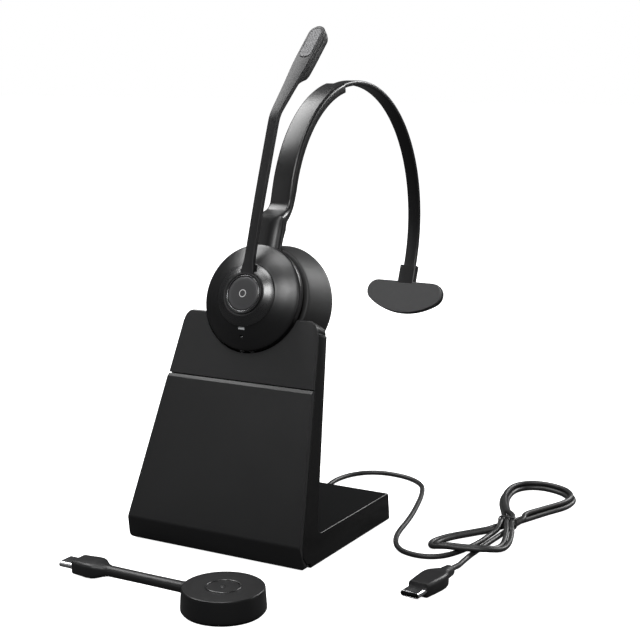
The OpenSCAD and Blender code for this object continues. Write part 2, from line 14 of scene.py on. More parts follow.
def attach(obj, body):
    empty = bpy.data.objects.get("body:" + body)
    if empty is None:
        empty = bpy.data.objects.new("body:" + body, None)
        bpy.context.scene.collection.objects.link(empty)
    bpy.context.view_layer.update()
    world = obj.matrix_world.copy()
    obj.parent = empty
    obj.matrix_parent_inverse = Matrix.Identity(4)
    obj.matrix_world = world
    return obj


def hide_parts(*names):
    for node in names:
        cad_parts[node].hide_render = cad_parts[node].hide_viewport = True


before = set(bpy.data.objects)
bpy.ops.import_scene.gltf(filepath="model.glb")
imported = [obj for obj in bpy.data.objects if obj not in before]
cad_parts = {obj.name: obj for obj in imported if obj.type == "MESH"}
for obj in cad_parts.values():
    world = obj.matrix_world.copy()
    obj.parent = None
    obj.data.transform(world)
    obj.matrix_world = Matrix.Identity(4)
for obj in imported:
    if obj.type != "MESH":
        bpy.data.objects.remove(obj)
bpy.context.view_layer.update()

MM = 0.001
LOG = logging.getLogger("headset_set")

# Lines of the stand that the other pieces are measured from, in metres and radians.
LEAN = math.radians(20.4)
CREASE = Vector((0.0, -40.0 * MM, 9.4 * MM))
CUP_REACH = 101.5 * MM
PLATE = Matrix.Translation(CREASE) @ Matrix.Rotation(math.pi / 2 - LEAN, 4, "X")
CUP = PLATE @ Matrix.Translation((0.0, CUP_REACH, 0.0))

Point2 = tuple[float, float]
Colour = tuple[float, float, float]


# --- Shader wiring ---------------------------------------------------------------------------


class Val:
    """A number on its way between two shader nodes; its operators add Math nodes."""

    def __init__(self, shade: "Shade", socket: bpy.types.NodeSocket) -> None:
        """Keeps the shade and the socket that the number leaves from."""
        self.shade = shade
        self.socket = socket

    def _math(self, operation: str, first: Any, second: Any) -> "Val":
        """Adds one Math node and gives its result."""
        return self.shade.value("ShaderNodeMath", {"operation": operation}, {0: first, 1: second})

    def __add__(self, other: Any) -> "Val":
        """self + other."""
        return self._math("ADD", self, other)

    __radd__ = __add__

    def __sub__(self, other: Any) -> "Val":
        """self - other."""
        return self._math("SUBTRACT", self, other)

    def __rsub__(self, other: Any) -> "Val":
        """other - self."""
        return self._math("SUBTRACT", other, self)

    def __mul__(self, other: Any) -> "Val":
        """self * other."""
        return self._math("MULTIPLY", self, other)

    __rmul__ = __mul__

    def __truediv__(self, other: Any) -> "Val":
        """self / other."""
        return self._math("DIVIDE", self, other)

    def __rtruediv__(self, other: Any) -> "Val":
        """other / self."""
        return self._math("DIVIDE", other, self)

    def power(self, exponent: float) -> "Val":
        """self raised to a power."""
        return self._math("POWER", self, exponent)

    def sine(self) -> "Val":
        """The sine of self, in radians."""
        return self._math("SINE", self, 0.0)

    def eased(self, low: float, high: float) -> "Val":
        """0 below low, 1 above high, and smooth between them."""
        return self.shade.value(
            "ShaderNodeMapRange",
            {"interpolation_type": "SMOOTHSTEP"},
            {"Value": self, "From Min": low, "From Max": high},
        )


class Shade:
    """One material being wired: its tree, its shader and its output."""

    def __init__(self, name: str) -> None:
        """Makes an empty material with a Principled shader.

        Args:
            name: The material's name.
        """
        self.material = bpy.data.materials.new(name)
        self.material.use_nodes = True
        self.tree = self.material.node_tree
        self.tree.nodes.clear()
        self.shader = self.tree.nodes.new("ShaderNodeBsdfPrincipled")
        self.output = self.tree.nodes.new("ShaderNodeOutputMaterial")
        self.tree.links.new(self.shader.outputs[0], self.output.inputs["Surface"])

    def node(
        self,
        kind: str,
        settings: dict[str, Any] | None = None,
        sockets: dict[str | int, Any] | None = None,
    ) -> bpy.types.Node:
        """Adds any node.

        Args:
            kind: The node's type.
            settings: Its properties, set first; "stops" holds a ramp's positions and colours.
            sockets: A value, Val or socket for each input named.

        Returns:
            The new node.
        """
        made = self.tree.nodes.new(kind)
        for key, value in (settings or {}).items():
            if key == "stops":
                self._set_stops(made, value)
            else:
                setattr(made, key, value)
        for key, value in (sockets or {}).items():
            self.feed(made.inputs[key], value)
        return made

    def _set_stops(self, ramp: bpy.types.Node, stops: Sequence[tuple[float, Colour]]) -> None:
        """Gives a ramp its stops."""
        elements = ramp.color_ramp.elements
        while len(elements) < len(stops):
            elements.new(0.5)
        for element, (position, colour) in zip(elements, stops):
            element.position = position
            element.color = (*colour, 1.0)

    def feed(self, socket: bpy.types.NodeSocket, value: Any) -> None:
        """Sets an input, by a link where the value comes from a node.

        Args:
            socket: The input.
            value: A number, a colour, a Val or an output socket.
        """
        if isinstance(value, Val):
            self.tree.links.new(value.socket, socket)
        elif isinstance(value, bpy.types.NodeSocket):
            self.tree.links.new(value, socket)
        elif socket.type == "RGBA" and len(value) == 3:
            socket.default_value = (*value, 1.0)
        else:
            socket.default_value = value

    def value(
        self,
        kind: str,
        settings: dict[str, Any] | None = None,
        sockets: dict[str | int, Any] | None = None,
        output: str | int = 0,
    ) -> Val:
        """Adds a node and gives one of its outputs as a Val.

        Args:
            kind: The node's type.
            settings: Its properties.
            sockets: Its inputs.
            output: Which output to give.

        Returns:
            The output.
        """
        return Val(self, self.node(kind, settings, sockets).outputs[output])

    def coords(self) -> bpy.types.NodeSocket:
        """Places on the piece, in metres, in the shared frame."""
        return self.node("ShaderNodeTexCoord").outputs["Object"]

    def placed(self, place: Matrix) -> bpy.types.NodeSocket:
        """Coordinates measured in another frame.

        Args:
            place: That frame, as it stands in the shared one.

        Returns:
            A vector socket.
        """
        inverse = place.inverted()
        settings = {"vector_type": "POINT"}
        sockets = {
            "Vector": self.coords(),
            "Location": inverse.to_translation(),
            "Rotation": inverse.to_euler(),
        }
        return self.node("ShaderNodeMapping", settings, sockets).outputs[0]

    def parts(self, vector: bpy.types.NodeSocket) -> tuple[Val, Val, Val]:
        """The three numbers of a vector."""
        split = self.node("ShaderNodeSeparateXYZ", None, {0: vector})
        return Val(self, split.outputs[0]), Val(self, split.outputs[1]), Val(self, split.outputs[2])

    def noise(self, vector: bpy.types.NodeSocket, scale: float, detail: float = 2.0) -> Val:
        """Soft cloudy noise.

        Args:
            vector: Coordinates in metres.
            scale: Features a metre.
            detail: Octaves.

        Returns:
            A number about 0.5.
        """
        return self.value(
            "ShaderNodeTexNoise", None, {"Vector": vector, "Scale": scale, "Detail": detail}
        )

    def cells(self, vector: bpy.types.NodeSocket, scale: float, feature: str = "F1") -> Val:
        """Distance in a pattern of cells.

        Args:
            vector: Coordinates in metres.
            scale: Cells a metre.
            feature: Which distance.

        Returns:
            The distance.
        """
        return self.value(
            "ShaderNodeTexVoronoi", {"feature": feature}, {"Vector": vector, "Scale": scale}
        )

    def mixed(self, factor: Any, first: Any, second: Any) -> Val:
        """A mix of two colours.

        Args:
            factor: 0 for the first colour, 1 for the second.
            first: A colour or a link.
            second: A colour or a link.

        Returns:
            The mixed colour.
        """
        made = self.node("ShaderNodeMix", {"data_type": "RGBA"})
        self.feed(made.inputs[0], factor)
        self.feed(made.inputs[6], first)
        self.feed(made.inputs[7], second)
        return Val(self, made.outputs[2])

    def bump(self, height: Any, depth: float, strength: float = 1.0, under: Any = None) -> Val:
        """A bumped normal.

        Args:
            height: The relief, from 0 to 1.
            depth: How deep it is, in metres.
            strength: How much of it shows.
            under: A normal that it lies on.

        Returns:
            The normal.
        """
        sockets = {"Height": height, "Distance": depth, "Strength": strength}
        if under is not None:
            sockets["Normal"] = under
        return self.value("ShaderNodeBump", None, sockets)

    def dress(self, **sockets: Any) -> bpy.types.Material:
        """Feeds the Principled shader.

        Args:
            **sockets: Its inputs, with underscores for spaces.

        Returns:
            The finished material.
        """
        for key, value in sockets.items():
            self.feed(self.shader.inputs[key.replace("_", " ")], value)
        return self.material


# --- Finishes --------------------------------------------------------------------------------


@dataclass(frozen=True)
class Finish:
    """A finish of the set; material() makes it once and keeps it."""

    name: str

    def material(self) -> bpy.types.Material:
        """The finish as a material.

        Returns:
            The material, made on the first call.
        """
        found = bpy.data.materials.get(self.name)
        return found if found is not None else self.wire(Shade(self.name))

    def wire(self, shade: Shade) -> bpy.types.Material:
        """Wires the material; each kind of finish has its own way."""
        raise NotImplementedError


@dataclass(frozen=True)
class MouldedPlastic(Finish):
    """Injection-moulded plastic with a fine spark-eroded grain."""

    colour: Colour = (0.02, 0.02, 0.021)
    rough: float = 0.4
    gloss: float = 0.5
    grain: float = 2600.0
    depth: float = 6e-6
    coat: float = 0.0

    def wire(self, shade: Shade) -> bpy.types.Material:
        """Fine grain, faint clouding of the surface and a few rubbed patches."""
        place = shade.coords()
        fine = shade.noise(place, self.grain, 1.0)
        broad = shade.noise(place, 55.0, 3.0)
        rubbed = shade.noise(place, 140.0, 4.0).eased(0.6, 0.78)
        dark = tuple(0.9 * c for c in self.colour)
        light = tuple(1.12 * c for c in self.colour)
        return shade.dress(
            Base_Color=shade.mixed(broad, dark, light),
            Roughness=(fine - 0.5) * 0.1 + (broad - 0.5) * 0.06 + self.rough - rubbed * 0.03,
            Specular_IOR_Level=self.gloss,
            Coat_Weight=self.coat,
            Coat_Roughness=0.12,
            Normal=shade.bump(fine, self.depth),
        )


@dataclass(frozen=True)
class Leatherette(Finish):
    """Soft black leatherette with a pebbled grain and shallow puckers."""

    colour: Colour = (0.014, 0.014, 0.015)
    rough: float = 0.42

    def wire(self, shade: Shade) -> bpy.types.Material:
        """Pebbles of about half a millimetre over broad soft creases."""
        place = shade.coords()
        pebbles = shade.cells(place, 1900.0, "SMOOTH_F1")
        creases = shade.noise(place, 260.0, 4.0)
        worn = shade.noise(place, 70.0, 3.0)
        dark = tuple(0.8 * c for c in self.colour)
        light = tuple(1.35 * c for c in self.colour)
        normal = shade.bump(pebbles, 2.2e-5, 0.55, shade.bump(creases, 9e-5, 0.5))
        return shade.dress(
            Base_Color=shade.mixed(worn, dark, light),
            Roughness=self.rough + (worn - 0.5) * 0.14 + pebbles * 0.08,
            Specular_IOR_Level=0.5,
            Sheen_Weight=0.12,
            Sheen_Roughness=0.4,
            Normal=normal,
        )


@dataclass(frozen=True)
class SpunFace(Finish):
    """Dark face turned on a lathe, with fine rings about the cup's axis."""

    colour: Colour = (0.036, 0.036, 0.0375)
    rough: float = 0.3
    pitch: float = 0.00016

    def wire(self, shade: Shade) -> bpy.types.Material:
        """Rings of a fine pitch, deeper and shallower by turns, and a painted highlight that lightens the
        face towards its rim.
        """
        x, y, _ = shade.parts(shade.placed(CUP))
        radius = (x * x + y * y).power(0.5)
        rings = (radius * (2 * math.pi / self.pitch)).sine() * 0.5 + 0.5
        uneven = shade.noise(shade.coords(), 900.0, 3.0)
        # Painted highlight: the face's colour is lightened towards its rim to stand in for sheen on the
        # rolled edge.
        edge = radius.eased(0.0050, 0.0071)
        rim = tuple(1.5 * c for c in self.colour)
        return shade.dress(
            Base_Color=shade.mixed(edge, self.colour, rim),
            Roughness=self.rough + (uneven - 0.5) * 0.08,
            Specular_IOR_Level=0.6,
            Normal=shade.bump(rings * 0.8 + uneven * 0.2, 1.6e-5, 0.6),
        )


@dataclass(frozen=True)
class DrawnMetal(Finish):
    """Bright metal with fine drawing lines along one axis."""

    colour: Colour = (0.62, 0.62, 0.63)
    rough: float = 0.24
    stretch: tuple[float, float, float] = (1.0, 0.05, 1.0)

    def wire(self, shade: Shade) -> bpy.types.Material:
        """Long thin streaks in roughness and colour."""
        settings = {"vector_type": "POINT"}
        lines = shade.node("ShaderNodeMapping", settings, {0: shade.coords(), "Scale": self.stretch})
        streaks = shade.noise(lines.outputs[0], 5200.0, 2.0)
        stain = shade.noise(shade.coords(), 300.0, 3.0)
        dull = tuple(0.8 * c for c in self.colour)
        return shade.dress(
            Base_Color=shade.mixed(stain, dull, self.colour),
            Metallic=1.0,
            Roughness=self.rough + (streaks - 0.5) * 0.16,
            Normal=shade.bump(streaks, 4e-6, 0.5),
        )


@dataclass(frozen=True)
class CordJacket(Finish):
    """Matt extruded jacket of a lead."""

    colour: Colour = (0.016, 0.016, 0.016)
    rough: float = 0.46

    def wire(self, shade: Shade) -> bpy.types.Material:
        """Faint orange peel and dull scuffs where strands rub."""
        place = shade.coords()
        peel = shade.noise(place, 1700.0, 2.0)
        scuffs = shade.noise(place, 220.0, 5.0).eased(0.55, 0.8)
        pale = tuple(1.8 * c for c in self.colour)
        return shade.dress(
            Base_Color=shade.mixed(scuffs * 0.5, self.colour, pale),
            Roughness=self.rough + (peel - 0.5) * 0.1 + scuffs * 0.08,
            Specular_IOR_Level=0.5,
            Normal=shade.bump(peel, 1.2e-5, 0.6),
        )


@dataclass(frozen=True)
class SoftRubber(Finish):
    """Soft-touch rubber, matt and dusty."""

    colour: Colour = (0.07, 0.07, 0.07)
    rough: float = 0.7

    def wire(self, shade: Shade) -> bpy.types.Material:
        """Velvety grain with a little dust in it."""
        place = shade.coords()
        grain = shade.noise(place, 3200.0, 2.0)
        dust = shade.noise(place, 480.0, 6.0).eased(0.5, 0.75)
        pale = tuple(1.06 * c for c in self.colour)
        return shade.dress(
            Base_Color=shade.mixed(dust, self.colour, pale),
            Roughness=self.rough + (grain - 0.5) * 0.12,
            Specular_IOR_Level=0.35,
            Sheen_Weight=0.15,
            Normal=shade.bump(grain, 4e-6, 0.5),
        )


@dataclass(frozen=True)
class WovenCloth(Finish):
    """Fine acoustic cloth, woven square to the ear cup."""

    colour: Colour = (0.018, 0.018, 0.018)
    pitch: float = 0.0005

    def wire(self, shade: Shade) -> bpy.types.Material:
        """Threads that pass over and under one another."""
        x, y, _ = shade.parts(shade.placed(CUP))
        turn = 2 * math.pi / self.pitch
        warp = (x * turn).sine()
        weft = (y * turn).sine()
        relief = (warp * weft) * 0.5 + 0.5
        pale = tuple(2.6 * c for c in self.colour)
        return shade.dress(
            Base_Color=shade.mixed(relief, self.colour, pale),
            Roughness=0.85,
            Normal=shade.bump(relief, 8e-5, 0.8),
        )


@dataclass(frozen=True)
class LitWindow(Finish):
    """Milky window over a small lamp."""

    colour: Colour = (0.42, 0.43, 0.44)
    glow: float = 0.12

    def wire(self, shade: Shade) -> bpy.types.Material:
        """Milky plastic, lighter in soft cloudy patches."""
        cloud = shade.noise(shade.coords(), 1500.0, 2.0)
        pale = tuple(min(1.0, 1.2 * c) for c in self.colour)
        return shade.dress(
            Base_Color=shade.mixed(cloud, self.colour, pale),
            Roughness=0.25 + cloud * 0.1,
            Emission_Color=shade.mixed(cloud, self.colour, pale),
            Emission_Strength=self.glow,
        )


@dataclass(frozen=True)
class CircuitBoard(Finish):
    """Green solder mask with copper tracks under it."""

    colour: Colour = (0.01, 0.075, 0.03)

    def wire(self, shade: Shade) -> bpy.types.Material:
        """Tracks follow the edges of a square pattern of cells."""
        place = shade.coords()
        tracks = shade.cells(place, 420.0, "DISTANCE_TO_EDGE").eased(0.03, 0.09)
        return shade.dress(
            Base_Color=shade.mixed(tracks, (0.03, 0.16, 0.07), self.colour),
            Roughness=0.3 + tracks * 0.1,
            Normal=shade.bump(tracks, 3e-5, 0.6),
        )


@dataclass(frozen=True)
class StudioFloor(Finish):
    """Pale floor that is even to look at and dim in mirrored light."""

    colour: Colour = (0.8, 0.8, 0.8)
    unseen: Colour = (0.045, 0.045, 0.046)

    def wire(self, shade: Shade) -> bpy.types.Material:
        """The camera sees it pale; other rays meet a darker ground."""
        seen = shade.value("ShaderNodeLightPath", output="Is Camera Ray")
        speckle = shade.noise(shade.coords(), 900.0, 2.0)
        dim = tuple(0.96 * c for c in self.colour)
        return shade.dress(
            Base_Color=shade.mixed(seen, self.unseen, self.colour),
            Roughness=0.9 + speckle * 0.05,
            Emission_Color=shade.mixed(seen, (0.0, 0.0, 0.0), dim),
            Emission_Strength=1.27,
        )


class Set(Enum):
    """Every finish of the set, by the piece it belongs to."""

    STAND = MouldedPlastic("stand_plastic", (0.0018, 0.0018, 0.0019), 0.34, 0.26, 2400.0, 7e-6)
    COVER = MouldedPlastic("cover_plastic", (0.0092, 0.0092, 0.0096), 0.44, 0.4, 3000.0, 5e-6)
    DOCK = MouldedPlastic("dock_plastic", (0.0145, 0.0145, 0.015), 0.4, 0.42, 3000.0, 4e-6)
    SHELL = MouldedPlastic("shell_plastic", (0.0065, 0.0065, 0.0068), 0.33, 0.5, 2800.0, 4e-6)
    COLLAR = MouldedPlastic("collar_plastic", (0.009, 0.009, 0.0095), 0.28, 0.9, 2800.0, 3e-6)
    BOOM = MouldedPlastic("boom_plastic", (0.014, 0.014, 0.0146), 0.42, 0.24, 3000.0, 4e-6)
    ARM = MouldedPlastic("arm_plastic", (0.0085, 0.0085, 0.0088), 0.32, 0.55, 2800.0, 3e-6)
    STRAP = MouldedPlastic("strap_plastic", (0.0085, 0.0085, 0.0089), 0.34, 0.45, 2600.0, 3e-6)
    INNER = MouldedPlastic("inner_plastic", (0.0035, 0.0035, 0.0036), 0.55, 0.3, 2200.0, 8e-6)
    RING = DrawnMetal("ring_metal", (0.26, 0.26, 0.265), 0.22)
    ADAPTER = MouldedPlastic("adapter_plastic", (0.0072, 0.0072, 0.0075), 0.34, 0.4, 2800.0, 5e-6)
    PLUG = MouldedPlastic("plug_plastic", (0.012, 0.012, 0.0124), 0.42, 0.4, 2600.0, 6e-6)
    TIE = MouldedPlastic("tie_plastic", (0.02, 0.02, 0.0204), 0.35, 0.5, 2200.0, 8e-6)
    GRILLE = DrawnMetal("grille_metal", (0.11, 0.11, 0.112), 0.46)
    MARK = MouldedPlastic("mark_paint", (0.62, 0.62, 0.62), 0.5, 0.4, 2600.0, 3e-6)
    BUTTON = SpunFace("spun_button")
    LEATHER = Leatherette("leatherette")
    CORD = CordJacket("cord_jacket")
    PAD = SoftRubber("pad_rubber", (0.05, 0.05, 0.051), 0.58)
    FOOT = SoftRubber("foot_rubber", (0.012, 0.012, 0.012), 0.8)
    FLOOR = StudioFloor("studio_floor")
    CLOTH = WovenCloth("speaker_cloth_weave")
    STEEL = DrawnMetal("plated_steel", (0.5, 0.5, 0.51), 0.32)
    SHELL_METAL = DrawnMetal("plug_steel", (0.66, 0.66, 0.67), 0.2)
    GOLD = DrawnMetal("gold_plate", (0.83, 0.6, 0.24), 0.22)
    NICKEL = DrawnMetal("dark_nickel", (0.2, 0.2, 0.205), 0.34)
    FOIL = DrawnMetal("cell_foil", (0.6, 0.6, 0.62), 0.36, (1.0, 1.0, 0.1))
    WINDOW = LitWindow("lamp_window")
    BOARD = CircuitBoard("circuit_board")


# --- Meshes ----------------------------------------------------------------------------------


def arc(centre: Point2, radius: float, first: float, last: float, steps: int) -> list[Point2]:
    """Points along a circle.

    Args:
        centre: The circle's centre.
        radius: Its radius.
        first: The first angle, in degrees.
        last: The last angle.
        steps: How many steps to take.

    Returns:
        steps + 1 points.
    """
    angles = (math.radians(first + (last - first) * k / steps) for k in range(steps + 1))
    return [(centre[0] + radius * math.cos(a), centre[1] + radius * math.sin(a)) for a in angles]


def rounded(points: Sequence[Point2], radius: float, steps: int = 4) -> list[Point2]:
    """A closed outline with its corners rounded.

    Args:
        points: The outline's corners.
        radius: The radius, made less where an edge is short.
        steps: Segments in each corner.

    Returns:
        The rounded outline.
    """
    made: list[Point2] = []
    count = len(points)
    for k, point in enumerate(points):
        here = Vector(point)
        before, after = Vector(points[k - 1]) - here, Vector(points[(k + 1) % count]) - here
        angle = before.angle(after)
        if angle > math.radians(168) or min(before.length, after.length) < 1e-7:
            made.append(point)
            continue
        reach = min(radius / math.tan(angle / 2), 0.45 * before.length, 0.45 * after.length)
        start, end = here + before.normalized() * reach, here + after.normalized() * reach
        for i in range(steps + 1):
            t = i / steps
            spot = start * (1 - t) ** 2 + here * 2 * t * (1 - t) + end * t * t
            made.append((spot.x, spot.y))
    return made


def smoothed(points: Sequence[Vector], steps: int) -> list[Vector]:
    """An open smooth line through points.

    Args:
        points: The points it passes through.
        steps: Steps between each two of them.

    Returns:
        The line's points.
    """
    made: list[Vector] = []
    last = len(points) - 1
    for k in range(last):
        a, b = points[max(k - 1, 0)], points[k]
        c, d = points[k + 1], points[min(k + 2, last)]
        for i in range(steps):
            t = i / steps
            made.append(
                0.5 * (2 * b + (c - a) * t + (2 * a - 5 * b + 4 * c - d) * t * t
                       + (3 * b - a - 3 * c + d) * t ** 3)
            )
    return made + [points[last].copy()]


class Maker:
    """Builds and finishes meshes in the shared frame."""

    @staticmethod
    def piece(name: str, bm: bmesh.types.BMesh, finish: Set, smooth: float = 30.0) -> bpy.types.Object:
        """Turns a bmesh into a piece at the origin.

        Args:
            name: The piece's name.
            bm: The mesh, freed here.
            finish: Its finish.
            smooth: Edges sharper than this angle, in degrees, stay sharp.

        Returns:
            The piece.
        """
        bmesh.ops.remove_doubles(bm, verts=bm.verts, dist=1e-7)
        bmesh.ops.recalc_face_normals(bm, faces=bm.faces)
        mesh = bpy.data.meshes.new(name)
        bm.to_mesh(mesh)
        bm.free()
        mesh.shade_smooth()
        mesh.set_sharp_from_angle(angle=math.radians(smooth))
        mesh.materials.clear()
        mesh.materials.append(finish.value.material())
        made = bpy.data.objects.new(name, mesh)
        bpy.context.scene.collection.objects.link(made)
        return made

    @staticmethod
    def loft(
        name: str, rings: Sequence[Sequence[Vector]], finish: Set, smooth: float = 30.0, closed: bool = False
    ) -> bpy.types.Object:
        """A skin over rings of equal count.

        Args:
            name: The piece's name.
            rings: The rings, in order.
            finish: Its finish.
            smooth: Edges sharper than this stay sharp.
            closed: True if the last ring meets the first.

        Returns:
            The piece, with flat caps unless it is closed.
        """
        bm = bmesh.new()
        rows = [[bm.verts.new(p) for p in ring] for ring in rings]
        count = len(rows[0])
        pairs = list(zip(rows, rows[1:])) + ([(rows[-1], rows[0])] if closed else [])
        for low, high in pairs:
            for k in range(count):
                bm.faces.new((low[k], low[(k + 1) % count], high[(k + 1) % count], high[k]))
        if not closed:
            bm.faces.new(rows[0][::-1])
            bm.faces.new(rows[-1])
        return Maker.piece(name, bm, finish, smooth)

    @staticmethod
    def turned(
        name: str, profile: Sequence[Point2], place: Matrix, finish: Set,
        steps: int = 96, smooth: float = 30.0,
    ) -> bpy.types.Object:
        """A closed profile turned about a frame's Z axis.

        Args:
            name: The piece's name.
            profile: Radius and height of each point, in millimetres.
            place: The frame it is turned in.
            finish: Its finish.
            steps: Steps round the axis.
            smooth: Edges sharper than this stay sharp.

        Returns:
            The piece, with its poles closed.
        """
        bm = bmesh.new()
        rows: list[list[bmesh.types.BMVert]] = []
        for radius, height in profile:
            if radius < 1e-6:
                rows.append([bm.verts.new(place @ Vector((0, 0, height * MM)))])
                continue
            row = []
            for k in range(steps):
                a = 2 * math.pi * k / steps
                spot = Vector((radius * math.cos(a), radius * math.sin(a), height)) * MM
                row.append(bm.verts.new(place @ spot))
            rows.append(row)
        for low, high in zip(rows, rows[1:] + rows[:1]):
            if len(low) == 1 and len(high) == 1:
                continue
            for k in range(steps):
                n = (k + 1) % steps
                corners = [low[k % len(low)], low[n % len(low)], high[n % len(high)], high[k % len(high)]]
                bm.faces.new(list(dict.fromkeys(corners)))
        return Maker.piece(name, bm, finish, smooth)

    @staticmethod
    def slab(
        name: str, outline: Sequence[Point2], low: float, high: float, place: Matrix, finish: Set
    ) -> bpy.types.Object:
        """A flat outline given a thickness.

        Args:
            name: The piece's name.
            outline: Its corners in the frame's X and Y, in millimetres.
            low: The lower face's height.
            high: The upper face's height.
            place: The frame it lies in.
            finish: Its finish.

        Returns:
            The piece.
        """
        rings = [[place @ (Vector((x, y, z)) * MM) for x, y in outline] for z in (low, high)]
        return Maker.loft(name, rings, finish)

    @staticmethod
    def applied(made: bpy.types.Object) -> bpy.types.Object:
        """Turns a piece's modifiers into mesh.

        Args:
            made: The piece, with live modifiers.

        Returns:
            The same piece, with none.
        """
        graph = bpy.context.evaluated_depsgraph_get()
        mesh = bpy.data.meshes.new_from_object(made.evaluated_get(graph), depsgraph=graph)
        made.modifiers.clear()
        made.data = mesh
        return made

    @staticmethod
    def bevelled(
        made: bpy.types.Object, width: float, steps: int = 3, angle: float = 30.0, clamp: bool = True
    ) -> bpy.types.Object:
        """Rounds a piece's sharp edges.

        Args:
            made: The piece.
            width: The width of each rounding, in millimetres.
            steps: Segments across it.
            angle: Only edges sharper than this are rounded.
            clamp: Whether the width gives way where an edge is short.

        Returns:
            The same piece.
        """
        bevel = made.modifiers.new("edges", "BEVEL")
        bevel.use_clamp_overlap = clamp
        bevel.limit_method = "ANGLE"
        bevel.angle_limit = math.radians(angle)
        bevel.width = width * MM
        bevel.segments = steps
        bevel.harden_normals = True
        bevel.miter_outer = "MITER_ARC"
        made.data.shade_smooth()
        return Maker.applied(made)

    @staticmethod
    def cut(made: bpy.types.Object, cutter: bpy.types.Object, how: str = "DIFFERENCE") -> bpy.types.Object:
        """Cuts one piece by another, which is removed.

        Args:
            made: The piece that is kept.
            cutter: The piece that cuts it.
            how: DIFFERENCE or INTERSECT.

        Returns:
            The cut piece.
        """
        cutting = made.modifiers.new("cut", "BOOLEAN")
        cutting.operation = how
        cutting.solver = "EXACT"
        cutting.object = cutter
        Maker.applied(made)
        bpy.data.objects.remove(cutter)
        return made

    @staticmethod
    def box(low: Vector, high: Vector, place: Matrix) -> bpy.types.Object:
        """A plain box to cut with, in millimetres in a frame."""
        outline = [(low.x, low.y), (high.x, low.y), (high.x, high.y), (low.x, high.y)]
        return Maker.slab("cutter", outline, low.z, high.z, place, Set.INNER)

    @staticmethod
    def softened(
        node: str, finish: Set, width: float, angle: float = 30.0, steps: int = 3,
        within: bpy.types.Object | None = None, clamp: bool = True,
    ) -> bpy.types.Object:
        """A copy of a CAD node with its edges rounded, which stands for that node.

        Args:
            node: The CAD node.
            finish: Its finish.
            width: The width of each rounding, in millimetres.
            angle: Only edges sharper than this are rounded.
            steps: Segments across each rounding.
            within: A solid that trims it first, and is used up.
            clamp: Whether the width gives way where an edge is short.

        Returns:
            The piece.
        """
        bm = bmesh.new()
        bm.from_mesh(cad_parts[node].data)
        bmesh.ops.remove_doubles(bm, verts=bm.verts, dist=2e-6)
        bmesh.ops.dissolve_limit(bm, angle_limit=math.radians(0.5), verts=bm.verts, edges=bm.edges)
        made = Maker.piece(f"{node}_piece", bm, finish, angle)
        if within is not None:
            Maker.cut(made, within, "INTERSECT")
        Maker.bevelled(made, width, steps, angle, clamp)
        return made


def settle(made: bpy.types.Object, body: str, slot: str, *nodes: str) -> bpy.types.Object:
    """Puts a finished piece on its body and reports it.

    Args:
        made: The piece.
        body: The CAD body it rides on.
        slot: The record's material slot; not used.
        *nodes: The CAD nodes that it stands for.

    Returns:
        The piece.
    """
    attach(made, body)
    if nodes:
        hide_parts(*nodes)
    LOG.info("%s rides on %s, %d faces", made.name, body, len(getattr(made.data, "polygons", ())))
    return made


def redress(finish: Set, *nodes: str) -> None:
    """Gives CAD nodes that keep their own shape a better finish.

    Args:
        finish: The finish.
        *nodes: The nodes.
    """
    for node in nodes:
        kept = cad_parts[node]
        kept.data.materials.clear()
        kept.data.materials.append(finish.value.material())
        LOG.info("%s keeps its shape and is dressed", node)


# --- Repeating shapes ------------------------------------------------------------------------


